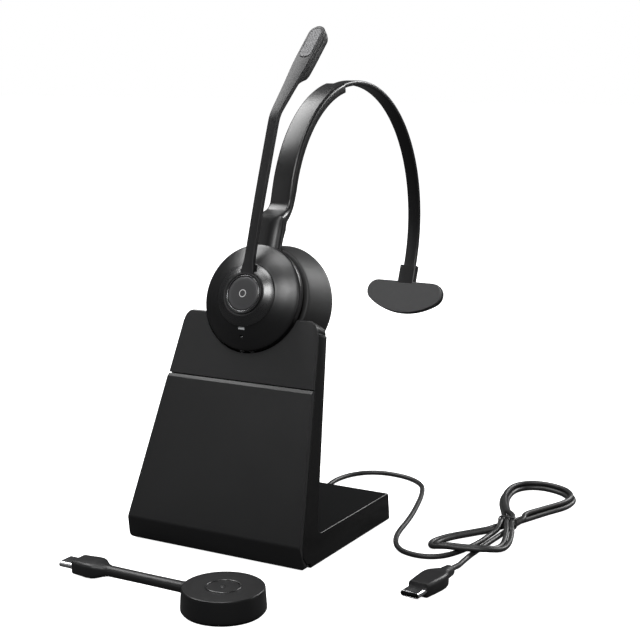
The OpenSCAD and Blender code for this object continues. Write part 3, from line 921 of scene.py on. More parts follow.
class PatternTree:
    """A Geometry Nodes group under construction, with named sizes."""

    def __init__(self, name: str) -> None:
        """Makes an empty group with one geometry output.

        Args:
            name: The group's name.
        """
        self.group = bpy.data.node_groups.new(name, "GeometryNodeTree")
        self.group.interface.new_socket("Geometry", in_out="OUTPUT", socket_type="NodeSocketGeometry")
        self.entry = self.group.nodes.new("NodeGroupInput")
        self.exit = self.group.nodes.new("NodeGroupOutput")
        self.identifiers: dict[str, str] = {}

    def size(self, name: str, kind: str, value: Any) -> bpy.types.NodeSocket:
        """Adds a named input.

        Args:
            name: The input's name.
            kind: Float, Int or Vector.
            value: Its value.

        Returns:
            The socket it leaves the Group Input from.
        """
        made = self.group.interface.new_socket(name, in_out="INPUT", socket_type=f"NodeSocket{kind}")
        made.default_value = value
        self.identifiers[name] = made.identifier
        return self.entry.outputs[name]

    def node(
        self, kind: str, settings: dict[str, Any] | None = None, sockets: dict[str | int, Any] | None = None
    ) -> bpy.types.Node:
        """Adds any node.

        Args:
            kind: The node's type.
            settings: Its properties, set first.
            sockets: A value or a socket for each input named.

        Returns:
            The new node.
        """
        made = self.group.nodes.new(kind)
        for key, value in (settings or {}).items():
            setattr(made, key, value)
        for key, value in (sockets or {}).items():
            if isinstance(value, bpy.types.NodeSocket):
                self.group.links.new(value, made.inputs[key])
            else:
                made.inputs[key].default_value = value
        return made

    def vector(self, x: Any = 0.0, y: Any = 0.0, z: Any = 0.0) -> bpy.types.NodeSocket:
        """A vector from three numbers or sockets."""
        return self.node("ShaderNodeCombineXYZ", None, {"X": x, "Y": y, "Z": z}).outputs[0]

    def math(self, operation: str, first: Any, second: Any = 0.0) -> bpy.types.NodeSocket:
        """The result of one Math node."""
        return self.node("ShaderNodeMath", {"operation": operation}, {0: first, 1: second}).outputs[0]

    def make(self, name: str, geometry: bpy.types.NodeSocket, finish: Set, place: Matrix,
             values: dict[str, Any] | None = None) -> bpy.types.Object:
        """Ends the tree and turns it into a plain mesh.

        Args:
            name: The piece's name.
            geometry: The tree's last geometry.
            finish: The finish it sets.
            place: The frame the pattern is drawn in.
            values: Values for the named inputs.

        Returns:
            A piece at the origin with no modifier.
        """
        real = self.node("GeometryNodeRealizeInstances", None, {0: geometry})
        last = self.node(
            "GeometryNodeSetMaterial", None,
            {"Geometry": real.outputs[0], "Material": finish.value.material()},
        )
        self.group.links.new(last.outputs[0], self.exit.inputs[0])
        made = bpy.data.objects.new(name, bpy.data.meshes.new(name))
        bpy.context.scene.collection.objects.link(made)
        modifier = made.modifiers.new("pattern", "NODES")
        modifier.node_group = self.group
        for key, value in (values or {}).items():
            modifier[self.identifiers[key]] = value
        Maker.applied(made)
        made.data.transform(place)
        made.data.materials.clear()
        made.data.materials.append(finish.value.material())
        return made


def section(
    centre: Vector, across: Vector, out: Vector, half_w: float, half_t: float, front: float, back: float,
    steps: int = 4, spread: float = 1.0,
) -> list[Vector]:
    """A ring of rounded-corner section, in metres from millimetres.

    Args:
        centre: Its middle, in millimetres.
        across: The unit direction of its width.
        out: The unit direction of its front.
        half_w: Half its width.
        half_t: Half its thickness.
        front: Corner radius on the front side, up to nearly the full thickness.
        back: Corner radius on the back side.
        steps: Segments in each corner.
        spread: How many times wider than deep the front corners are.

    Returns:
        The ring, four corners of steps + 1 points.
    """
    ring: list[Vector] = []
    corners = ((1, 1, front, 0), (-1, 1, front, 90), (-1, -1, back, 180), (1, -1, back, 270))
    fits = min(1.0, 1.96 * half_t / (front + back))
    for sx, sy, radius, first in corners:
        deep = min(radius * fits, 0.98 * half_w)
        wide = min(deep * (spread if sy > 0 else 1.0), 0.98 * half_w)
        for u, v in arc((0.0, 0.0), 1.0, first, first + 90, steps):
            u, v = sx * (half_w - wide) + wide * u, sy * (half_t - deep) + deep * v
            ring.append((centre + across * u + out * v) * MM)
    return ring


# --- Studio ----------------------------------------------------------------------------------


@dataclass
class Studio:
    """Pale floor, soft lamps and the camera."""

    camera_at: Point2 = (0.3093, -0.4975)
    camera_height: float = 0.2030
    target: tuple[float, float, float] = (0.0309, -0.0019, 0.0973)
    lens: float = 78.0

    def build(self) -> None:
        """Makes the camera, the floor, the world and the lamps."""
        self.place_camera()
        self.lay_floor()
        self.light_world()
        self.hang_lamps()

    def place_camera(self) -> None:
        """Stands the camera to the right of the front and a little above."""
        data = bpy.data.cameras.new("camera")
        data.lens = self.lens
        data.sensor_width = 36.0
        data.clip_start, data.clip_end = 0.01, 20.0
        camera = bpy.data.objects.new("camera", data)
        camera.location = (*self.camera_at, self.camera_height)
        aim = Vector(self.target) - camera.location
        camera.rotation_mode = "QUATERNION"
        camera.rotation_quaternion = aim.to_track_quat("-Z", "Y")
        bpy.context.scene.collection.objects.link(camera)
        bpy.context.scene.camera = camera

    def lay_floor(self) -> None:
        """Lays a pale floor that runs out of sight."""
        bm = bmesh.new()
        bmesh.ops.create_grid(bm, x_segments=1, y_segments=1, size=6.0)
        floor = Maker.piece("floor", bm, Set.FLOOR)

    def light_world(self) -> None:
        """A white surround to look at and a dimmer one to be lit and mirrored by."""
        world = bpy.data.worlds.new("studio")
        world.use_nodes = True
        tree = world.node_tree
        tree.nodes.clear()
        path = tree.nodes.new("ShaderNodeLightPath")
        seen, felt = tree.nodes.new("ShaderNodeBackground"), tree.nodes.new("ShaderNodeBackground")
        seen.inputs["Color"].default_value = (1.0, 1.0, 1.0, 1.0)
        seen.inputs["Strength"].default_value = 1.0
        felt.inputs["Color"].default_value = (0.95, 0.97, 1.0, 1.0)
        felt.inputs["Strength"].default_value = 0.055
        mix, out = tree.nodes.new("ShaderNodeMixShader"), tree.nodes.new("ShaderNodeOutputWorld")
        tree.links.new(path.outputs["Is Camera Ray"], mix.inputs[0])
        tree.links.new(felt.outputs[0], mix.inputs[1])
        tree.links.new(seen.outputs[0], mix.inputs[2])
        tree.links.new(mix.outputs[0], out.inputs["Surface"])
        bpy.context.scene.world = world
        bpy.context.scene.view_settings.view_transform = "Standard"

    def hang_lamps(self) -> None:
        """Hangs the soft lamps."""
        middle = Vector((0.02, 0.0, 0.1))
        self.lamp("top_box", (0.0, -0.2, 1.05), middle, 0.45, 0.3, 4.0)
        self.lamp("front_box", (0.45, -0.95, 0.95), middle, 0.3, 0.45, 8.5)
        self.lamp("left_sky", (-0.6, 0.08, 0.97), middle, 0.85, 0.4, 10.0)
        self.lamp("left_panel", (-1.0, -0.95, 0.55), middle, 0.9, 0.7, 1.1)
        self.lamp("right_strip", (1.05, 0.55, 0.15), middle, 0.2, 0.6, 1.1)
        self.lamp("right_front", (1.05, -0.55, 0.62), middle, 0.12, 0.6, 1.6)
        self.lamp("back_right", (0.42, 0.95, 0.55), middle, 0.35, 0.4, 7.5)

    def lamp(
        self, name: str, at: tuple[float, float, float], aim: Vector,
        width: float, height: float, power: float,
    ) -> None:
        """Hangs one soft lamp.

        Args:
            name: Its name.
            at: Where it hangs.
            aim: What it points at.
            width: Its width.
            height: Its height.
            power: Its power, in watts.
        """
        data = bpy.data.lights.new(name, "AREA")
        data.shape = "RECTANGLE"
        data.size, data.size_y = width, height
        data.energy = power
        made = bpy.data.objects.new(name, data)
        made.location = at
        made.rotation_mode = "QUATERNION"
        made.rotation_quaternion = (aim - Vector(at)).to_track_quat("-Z", "Y")
        bpy.context.scene.collection.objects.link(made)


# --- The stand's lead ------------------------------------------------------------------------


@dataclass
class UsbLead:
    """The stand's captive lead: a tied figure-eight and a USB-C plug."""

    radius: float = 1.15
    floor: float = 1.2
    upper: float = 3.55
    side: float = 1.2

    lead_in: tuple = (
        (0, 50, 5.2), (-0.7, 55.26, 4), (-1.8, 60.52, 2.2), (-3.3, 65.78, 1.3), (-4.4, 72.04, 1.2),
        (-4.7, 78.3, 1.2), (-3.9, 84.3, 1.2), (-1.7, 90.3, 1.2), (2.5, 95.8, 1.2), (8.5, 99.1, 1.2),
        (15.5, 99.9, 1.2), (23.5, 98.5, 1.2), (30.5, 94.9, 1.2), (36.1, 89.3, 1.2), (40.1, 81.3, 1.2),
        (43.5, 72.3, 1.2), (46.9, 61.3, 1.2), (50.3, 49.3, 1.2), (53.1, 37.3, 1.2), (55.3, 26.3, 1.2),
        (57.9, 17.3, 1.2), (61.9, 9.3, 1.2), (67.1, 3.7, 1.2), (73.5, 1.5, 1.2), (79.5, 2.1, 1.2),
        (84.5, 5.5, 1.2), (87.9, 11.7, 1.2), (90.3, 20.3, 1.2), (91.7, 29.3, 1.2), (92.1, 39.3, 1.2),
    )
    plug_run: tuple = (
        (96.1, 41.3, 1.2), (95.5, 31.3, 1.2), (95, 21.3, 1.2), (94.7, 12.3, 1.2), (94.9, 5.04, 1.2),
        (95.45, -1.35, 1.5), (96, -6.74, 2.5), (96.38, -12.4, 3.2),
    )
    near_loop: tuple = (
        (88.9, 45.8), (83.3, 37.3), (77.9, 28.8), (75.1, 20.3), (77.5, 13.9), (84, 12.3),
        (91.5, 13.7), (98.5, 16.3), (102.9, 22.8), (102.5, 32.3), (99.9, 42.3),
    )
    far_loop: tuple = (
        (88, 69.3), (81.7, 82.3), (78.1, 93.8), (77.5, 105.3), (82.1, 113.1), (90.5, 115.3),
        (100.5, 111.7), (106.5, 103.8), (106.9, 92.8), (102.1, 80.3), (97.7, 68.3),
    )
    plug_at: tuple = (94.2, -37.3, 3.2)
    plug_turn: float = -5.0

    def build(self) -> None:
        """Makes the lead, its tie, its strain relief and its plug."""
        path = [p * MM for p in smoothed(self.route(), 6)]
        lead = Maker.loft("usb_lead", self.rings(path), Set.CORD, 60.0)
        settle(lead, "stand", "cord_black", "stand_cord", "cord_bundle", "plug_lead")
        tie = self.tie()
        plug = self.plug()
        grommet = self.grommet()
        length = sum((b - a).length for a, b in zip(path, path[1:]))
        LOG.info("the lead is %.4f m long", length)
        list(self.metal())

    def route(self) -> list[Vector]:
        """The lead's whole way, in millimetres.

        Returns:
            Points from the strain relief through three far loops and two near ones to the plug.
        """
        low, high = self.floor, self.upper
        near_z = [low, low, low, low, 1.9, 3.5, high, 3.5, 2.2, 1.5, 2.6]
        flat = [low] * len(self.far_loop)
        on_top = [3.3] * len(self.far_loop)
        links = (
            ((93, 45.8, 2.0), (92.3, 50.8, 3.5), (91.6, 55.3, high), (90.4, 58.8, 3.1), (89.2, 62.3, 1.9)),
            ((96.7, 62.3, low), (94, 55.3, low), (91.9, 50.8, low)),
            ((97.3, 45.8, high), (95.2, 50.8, high), (94, 55.3, high), (92.8, 58.8, high), (91.5, 62.3, 2.5)),
            ((94.2, 62.3, low), (91.6, 55.3, low), (89.5, 50.8, low)),
            ((99.7, 45.8, 3.4), (97.6, 50.8, high), (96.4, 55.3, high), (95.2, 58.8, 3.75), (93.6, 62.3, 4),
             (90.7, 65.8, 3.75)),
            ((98.6, 62.3, 2.7), (96.4, 55.3, low), (96.3, 50.8, low), (96.2, 45.8, low)),
        )
        ways = (
            [Vector(p) for p in self.lead_in],
            self.beside(self.far_loop, self.side, flat),
            self.beside(self.near_loop, self.side, near_z),
            self.beside(self.far_loop, -self.side, flat),
            self.beside(self.near_loop, -self.side, near_z),
            self.beside(self.far_loop, 0.0, on_top),
        )
        points: list[Vector] = []
        for way, link in zip(ways, links):
            points += way + [Vector(p) for p in link]
        return points + [Vector(p) for p in self.plug_run]

    @staticmethod
    def beside(line: Sequence[Point2], shift: float, heights: Sequence[float]) -> list[Vector]:
        """A strand to the left of a loop's middle line.

        Args:
            line: The loop's middle line.
            shift: How far to its left the strand lies.
            heights: The strand's height at each point.

        Returns:
            The strand's points.
        """
        made = []
        for k, (x, y) in enumerate(line):
            a, b = line[max(k - 1, 0)], line[min(k + 1, len(line) - 1)]
            heading = Vector((b[0] - a[0], b[1] - a[1])).normalized()
            made.append(Vector((x - shift * heading.y, y + shift * heading.x, heights[k])))
        return made

    def rings(self, path: Sequence[Vector], sides: int = 12) -> list[list[Vector]]:
        """Rings of the round jacket along a path in metres.

        Args:
            path: The lead's middle line.
            sides: Corners of each ring.

        Returns:
            The rings.
        """
        made = []
        for k, spot in enumerate(path):
            heading = (path[min(k + 1, len(path) - 1)] - path[max(k - 1, 0)]).normalized()
            aside = heading.cross(Vector((0, 0, 1))).normalized()
            above = aside.cross(heading)
            turns = (2 * math.pi * i / sides for i in range(sides))
            made.append([
                spot + (aside * math.cos(t) + above * math.sin(t)) * self.radius * MM for t in turns
            ])
        return made

    def tie(self) -> bpy.types.Object:
        """The flat wire tie round the crossing.

        Returns:
            The tie.
        """
        outline = rounded([(-3.75, 0.03), (3.75, 0.03), (3.75, 4.9), (-3.75, 4.9)], 1.5, 6)
        rings = []
        for k, (x, z) in enumerate(outline):
            after, before = outline[(k + 1) % len(outline)], outline[k - 1]
            heading = Vector((after[0] - before[0], 0, after[1] - before[1])).normalized()
            out = Vector((heading.z, 0, -heading.x))
            centre = Vector((94 + x, 55.3 + 0.04 * x, z)) + out * 0.3
            rings.append(section(centre, Vector((0, 1, 0)), out, 0.5, 0.28, 0.25, 0.25, 2))
        tie = Maker.loft("lead_tie", rings, Set.TIE, 50.0, closed=True)
        settle(tie, "stand", "tie", "cord_tie")
        return tie

    def place(self) -> Matrix:
        """The plug's frame: Z out of its mouth, Y up."""
        turn = Matrix.Rotation(math.radians(self.plug_turn), 4, "Z") @ Matrix.Rotation(math.pi / 2, 4, "X")
        return Matrix.Translation(Vector(self.plug_at) * MM) @ turn

    def plug(self) -> bpy.types.Object:
        """The plug's moulded grip.

        Returns:
            The grip.
        """
        stations = (
            (-25, 2.2, 2.15, 2.1), (-24.6, 2.4, 2.3, 2.2), (-20, 2.7, 2.5, 2.2), (-17.6, 3.7, 2.8, 2.0),
            (-15.2, 5.0, 3.0, 1.7), (-13, 5.45, 3.1, 1.6), (-10, 5.45, 3.1, 1.6), (-5, 5.0, 3.05, 1.5),
            (-0.5, 4.55, 2.95, 1.4), (-0.1, 4.4, 2.8, 1.3), (0, 4.15, 2.55, 1.2),
        )
        rings = [
            section(Vector((0, 0, z)), Vector((1, 0, 0)), Vector((0, 1, 0)), w, h, r, r, 5)
            for z, w, h, r in stations
        ]
        placed = [[self.place() @ p for p in ring] for ring in rings]
        grip = Maker.loft("lead_plug_grip", placed, Set.PLUG, 40.0)
        return settle(grip, "stand", "plug_black", "plug_body")

    def metal(self) -> list[bpy.types.Object]:
        """The plug's drawn shell and the contacts inside it.

        Returns:
            The shell and the row of contacts.
        """
        shell = Maker.softened("plug_shell", Set.SHELL_METAL, 0.1)
        settle(shell, "stand", "plug_metal", "plug_shell")
        redress(Set.INNER, "plug_tongue")
        contacts = contact_rows("lead_plug_contacts", self.place())
        return [shell, settle(contacts, "stand", "gold")]

    def grommet(self) -> bpy.types.Object:
        """The ribbed strain relief at the back of the foot.

        Returns:
            The strain relief.
        """
        profile: list[Point2] = [(0, 0), (2.1, 0), (2.3, 0.2)]
        for k in range(5):
            z = 0.8 + 1.35 * k
            r = 2.32 + 0.09 * k
            profile += [(r, z), (r - 0.28, z + 0.1), (r - 0.28, z + 0.45), (r, z + 0.55)]
        profile += [(2.8, 7.5), (3.9, 7.7), (4.0, 7.9), (4.0, 9.4), (3.1, 9.4), (3.1, 11.1), (0, 11.1)]
        place = Matrix.Translation(Vector((0, 50, 5.2)) * MM) @ Matrix.Rotation(math.pi / 2, 4, "X")
        relief = Maker.turned("strain_relief", profile, place, Set.CORD, 40)
        return settle(relief, "stand", "cord_black", "cord_grommet")


def contact_rows(name: str, place: Matrix) -> bpy.types.Object:
    """Two rows of gold contacts on the tongue of a USB-C plug.

    Args:
        name: The piece's name.
        place: The plug's frame.

    Returns:
        The contacts, as one mesh.
    """
    tree = PatternTree(name)
    count = tree.size("Contacts in a row", "Int", 12)
    pitch = tree.size("Pitch", "Float", 0.5 * MM)
    lift = tree.size("Height above the middle", "Float", 0.33 * MM)
    line = tree.node("GeometryNodeMeshLine", {"mode": "OFFSET"}, {
        "Count": count,
        "Offset": tree.vector(pitch, 0.0, 0.0),
        "Start Location": tree.vector(tree.math("MULTIPLY", pitch, -5.5), lift, 3.0 * MM),
    })
    bar = tree.node("GeometryNodeMeshCube", None, {"Size": (0.26 * MM, 0.06 * MM, 3.6 * MM)})
    upper = tree.node("GeometryNodeInstanceOnPoints", None, {
        "Points": line.outputs[0], "Instance": bar.outputs[0],
    })
    lower = tree.node("GeometryNodeTransform", None, {
        "Geometry": upper.outputs[0], "Rotation": (0.0, 0.0, math.pi),
    })
    both = tree.node("GeometryNodeJoinGeometry")
    tree.group.links.new(upper.outputs[0], both.inputs[0])
    tree.group.links.new(lower.outputs[0], both.inputs[0])
    return tree.make(name, both.outputs[0], Set.GOLD, place)


# --- Charging stand --------------------------------------------------------------------------


@dataclass
class ChargingStand:
    """The leaning charging stand."""

    edge: float = 0.5
    panel_edge: float = 0.32
    rear_corner: float = 3.0
    nose_corner: float = 2.4

    def build(self) -> None:
        """Makes the stand's housing, panels, foot and inner parts."""
        plan = [(-43.95, 40.5), (43.95, 40.5), (46, -60), (-46, -60)]
        bar = self.prism(plan, self.rear_corner, True)
        housing = Maker.softened("stand_housing", Set.STAND, self.edge, within=bar, clamp=False)
        settle(housing, "stand", "stand_black", "stand_housing")
        front = [(-43.95, 1.0), (43.95, 1.0), (31.42, 110), (-31.42, 110)]
        bar = self.prism(front, self.nose_corner, False)
        cover = Maker.softened("front_cover", Set.COVER, self.panel_edge, within=bar)
        settle(cover, "stand", "panel_black", "front_cover")
        dock = Maker.softened("dock_plate", Set.DOCK, self.panel_edge)
        settle(dock, "stand", "dock_black", "dock_plate")
        redress(Set.STAND, "base_plate")
        redress(Set.FOOT, "foot_pad")
        redress(Set.STEEL, "stand_screws", "ballast")
        redress(Set.BOARD, "charge_board")
        for side in ("left", "right"):
            node = f"charge_pin_{side}"
            pin = Maker.softened(node, Set.NICKEL, 0.15)
            settle(pin, f"charge_pin_{side[0]}", "gold", node)
        # Painted shade: a dark ring fills the notch's gap behind the cup, where only shadow shows.
        self.notch_shade_ring()

    @staticmethod
    def prism(outline: Sequence[Point2], corner: float, upright: bool) -> bpy.types.Object:
        """A long round-cornered bar that trims the stand.

        Args:
            outline: Its outline, in millimetres, seen from above or from the front.
            corner: The radius of its corners.
            upright: Whether it stands up or lies from front to back.

        Returns:
            The bar.
        """
        turn = Matrix.Identity(4) if upright else Matrix.Rotation(math.pi / 2, 4, "X")
        return Maker.slab("cutter", rounded(outline, corner, 6), -130, 130, turn, Set.STAND)

    @staticmethod
    def notch_shade_ring() -> None:
        """A dark rubber ring at the back of the notch, behind the cup's shell: painted shade that darkens the
        gap seen past the shell's lower edge.
        """
        profile = [(23.45, -2.9), (23.5, -2.6), (23.7, -2.5), (24.6, -2.5), (24.8, -3.1), (23.6, -3.1)]
        made = Maker.turned("notch_gap_shade_ring", profile, CUP, Set.FOOT, 128, 40)
        Maker.cut(made, Maker.box(Vector((-40, -9, -20)), Vector((40, 40, 20)), CUP))
        Maker.cut(made, Maker.box(Vector((-5, -40, -20)), Vector((5, 0, 20)), CUP))
        settle(made, "stand", "foot_rubber")


# --- Ear cup ---------------------------------------------------------------------------------


@dataclass
class EarCup:
    """The round ear cup with its cushion, button and speaker."""

    shell_r: float = 23.1
    hub_r: float = 8.95
    button_r: float = 7.3
    steps: int = 128

    def build(self) -> None:
        """Makes the cup from its face to its cushion."""
        self.shell()
        self.gap_ring()
        self.cushion()
        self.speaker()
        self.marks()
        self.bezel()
        self.button()

    def shell(self) -> None:
        """The smooth domed front shell, open for the neck and the lamps."""
        outer = [
            (22.5, -2.35), (22.75, -2.15), (self.shell_r, 0.2), (self.shell_r, 0.8),
            (22.95, 1.2), (22.6, 1.55), (21.8, 2.05),
            (21, 2.5), (20, 3.06), (19, 3.62), (18, 4.13), (17, 4.6), (16, 5.04), (15.4, 5.3), (14.6, 5.62),
            (13.9, 5.9), (13.8, 5.95),
        ]
        inner = [(self.hub_r, 5.95), (self.hub_r, 4.5), (13, 4.5), (18.4, 2.2), (21.4, 0.4), (21.7, -2.35)]
        made = Maker.turned("cup_shell_piece", outer + inner, CUP, Set.SHELL, self.steps)
        Maker.cut(made, Maker.box(Vector((-7.3, 18.8, -10)), Vector((7.3, 30, 0.5)), CUP))
        Maker.cut(made, Maker.box(Vector((-1.8, -14.95, 3.0)), Vector((1.8, -13.45, 8)), CUP))
        hole = [(0, 0), (0.75, 0), (0.75, 9), (0, 9)]
        Maker.cut(made, Maker.turned("cutter", hole, self.lamp_place(), Set.INNER, 32))
        made.data.shade_smooth()
        made.data.set_sharp_from_angle(angle=math.radians(35))
        settle(made, "headset", "shell_black", "cup_shell")

    @staticmethod
    def lamp_place() -> Matrix:
        """The frame of the round lamp low on the shell."""
        return CUP @ Matrix.Translation((0, -17.7 * MM, 0))

    def gap_ring(self) -> None:
        """The dark recessed ring between the shell and the cushion."""
        outline = [(20.9, -2.5), (20.9, -6), (14.5, -6), (14.5, -4.7), (19.2, -4.7), (19.2, -2.5)]
        profile = rounded(outline, 0.3)
        made = Maker.turned("gap_ring_piece", profile, CUP, Set.INNER, self.steps)
        Maker.cut(made, Maker.box(Vector((-7.3, 16.8, -4.9)), Vector((7.3, 30, 0.5)), CUP))
        settle(made, "headset", "inner_black", "cup_frame")
        pads = Maker.softened("charge_pads", Set.NICKEL, 0.15)
        settle(pads, "headset", "gold", "charge_pads")

    def cushion(self) -> None:
        """The padded leatherette ring, swollen by its foam and puckered at its seams."""
        profile = [
            (21.1, -4.85), (22.4, -4.72), (23.4, -4.72), (23.9, -4.95), (24.15, -5.4), (24.7, -8),
            (25.5, -11.4), (26.3, -14.8), (26.9, -17.1), (27.35, -18.4), (27.55, -19.4), (27.35, -20.3),
            (26.8, -21.2), (25.8, -22), (24.4, -22.55), (22.4, -22.85), (20, -22.95), (17.6, -22.75),
            (15.4, -22.1), (13.6, -21.1), (12.4, -19.8), (11.9, -18.3), (11.9, -16.6), (12.2, -14.8),
            (13, -13.4), (14.2, -12.8), (20.9, -12.6), (20.9, -6),
        ]
        made = Maker.turned("cushion_piece", profile, CUP, Set.LEATHER, 160, 80)
        finer = made.modifiers.new("finer", "SUBSURF")
        finer.levels = finer.render_levels = 1
        Maker.applied(made)
        self.pucker(made)
        settle(made, "headset", "leatherette", "ear_cushion")

    @staticmethod
    def pucker(made: bpy.types.Object) -> None:
        """Draws the leatherette in by shallow puckers towards the inner seam.

        Args:
            made: The cushion.
        """
        inverse = CUP.inverted()
        for vertex in made.data.vertices:
            spot = (inverse @ vertex.co) / MM
            radius = math.hypot(spot.x, spot.y)
            angle = math.atan2(spot.y, spot.x)
            near_seam = max(0.0, 1.0 - abs(radius - 13.2) / 4.5) * (1.0 if spot.z < -14 else 0.0)
            wave = math.sin(23 * angle + 2.1 * math.sin(3 * angle)) + 0.5 * math.sin(41 * angle + 1.3)
            soft = 0.05 * math.sin(5 * angle + 0.7) + 0.04 * math.sin(9 * angle + 2.0)
            depth = (0.11 * near_seam * wave + soft * (1.0 if spot.z < -7 else 0.2)) * MM
            vertex.co += vertex.normal * depth

    def speaker(self) -> None:
        """The baffle, its cloth with a hemmed edge, and what is inside the cup."""
        redress(Set.INNER, "speaker_baffle")
        redress(Set.STEEL, "speaker_driver")
        redress(Set.FOIL, "battery")
        redress(Set.BOARD, "main_board")
        profile = [
            (0, -12.3), (10.6, -12.3), (11.4, -12.4), (11.4, -12.7), (10.8, -12.8), (6, -12.7), (0, -12.62),
        ]
        cloth = Maker.turned("speaker_cloth_piece", profile, CUP, Set.CLOTH, 64, 60)
        settle(cloth, "headset", "cloth", "speaker_cloth")
        settle(self.stitches(), "headset", "leatherette")

    @staticmethod
    def stitches() -> bpy.types.Object:
        """The stitched seam inside the cushion's opening.

        Returns:
            The stitches, as one mesh.
        """
        tree = PatternTree("cushion_stitches")
        count = tree.size("Stitches", "Int", 56)
        radius = tree.size("Seam radius", "Float", 12.25 * MM)
        length = tree.size("Stitch length", "Float", 1.0 * MM)
        ring = tree.node("GeometryNodeMeshCircle", None, {"Vertices": count, "Radius": radius})
        index = tree.node("GeometryNodeInputIndex").outputs[0]
        turn = tree.math("MULTIPLY", index, tree.math("DIVIDE", 2 * math.pi, count))
        stitch = tree.node("GeometryNodeMeshIcoSphere", None, {"Radius": 0.5, "Subdivisions": 2})
        shaped = tree.node("GeometryNodeTransform", None, {
            "Geometry": stitch.outputs[0], "Scale": tree.vector(0.3 * MM, length, 0.34 * MM),
        })
        placed = tree.node("GeometryNodeInstanceOnPoints", None, {
            "Points": ring.outputs[0], "Instance": shaped.outputs[0],
            "Rotation": tree.vector(0.0, 0.25, turn),
        })
        return tree.make("cushion_seam", placed.outputs[0], Set.LEATHER,
                         CUP @ Matrix.Translation((0, 0, -14.6 * MM)))

    def marks(self) -> None:
        """The lamp bar and the round lamp low on the shell."""
        bar = Maker.softened("status_window", Set.WINDOW, 0.18)
        settle(bar, "headset", "window", "status_window")
        profile = [(0, 2.2), (0.68, 2.2), (0.68, 3.7), (0.6, 3.82), (0.3, 3.9), (0, 3.92)]
        lamp = Maker.turned("mode_lamp", profile, self.lamp_place(), Set.RING, 32, 60)
        settle(lamp, "headset", "window", "mode_led")

    def bezel(self) -> None:
        """The thin glossy ring round the button."""
        r = self.button_r
        profile = [
            (r + 0.1, 1), (r + 0.6, 1), (r + 0.6, 8.95), (r + 0.55, 9.08), (r + 0.42, 9.16), (r + 0.28, 9.14),
            (r + 0.16, 9.0), (r + 0.1, 8.75),
        ]
        made = Maker.turned("button_ring", profile, CUP, Set.RING, self.steps, 50)
        settle(made, "headset", "bright_ring", "button_bezel")

    def button(self) -> None:
        """The round button, slightly crowned, with a plain handset-free mark."""
        r = self.button_r
        profile = [
            (0, 0.8), (2, 0.8), (2, 7.4), (r, 7.4), (r, 8.5), (r - 0.06, 8.72), (r - 0.2, 8.88),
            (r - 0.5, 8.98), (r - 1.4, 9.06), (r - 3, 9.12), (r - 5, 9.16), (0, 9.18),
        ]
        face = Maker.turned("call_button_piece", profile, CUP, Set.BUTTON, self.steps, 50)
        settle(face, "button", "button_black", "call_button")
        ring = [(1.35, 9.15), (1.62, 9.15), (1.62, 9.2), (1.35, 9.2)]
        mark = Maker.turned("button_mark", ring, CUP, Set.MARK, 48, 50)
        settle(mark, "button", "window")


# --- Microphone boom -------------------------------------------------------------------------


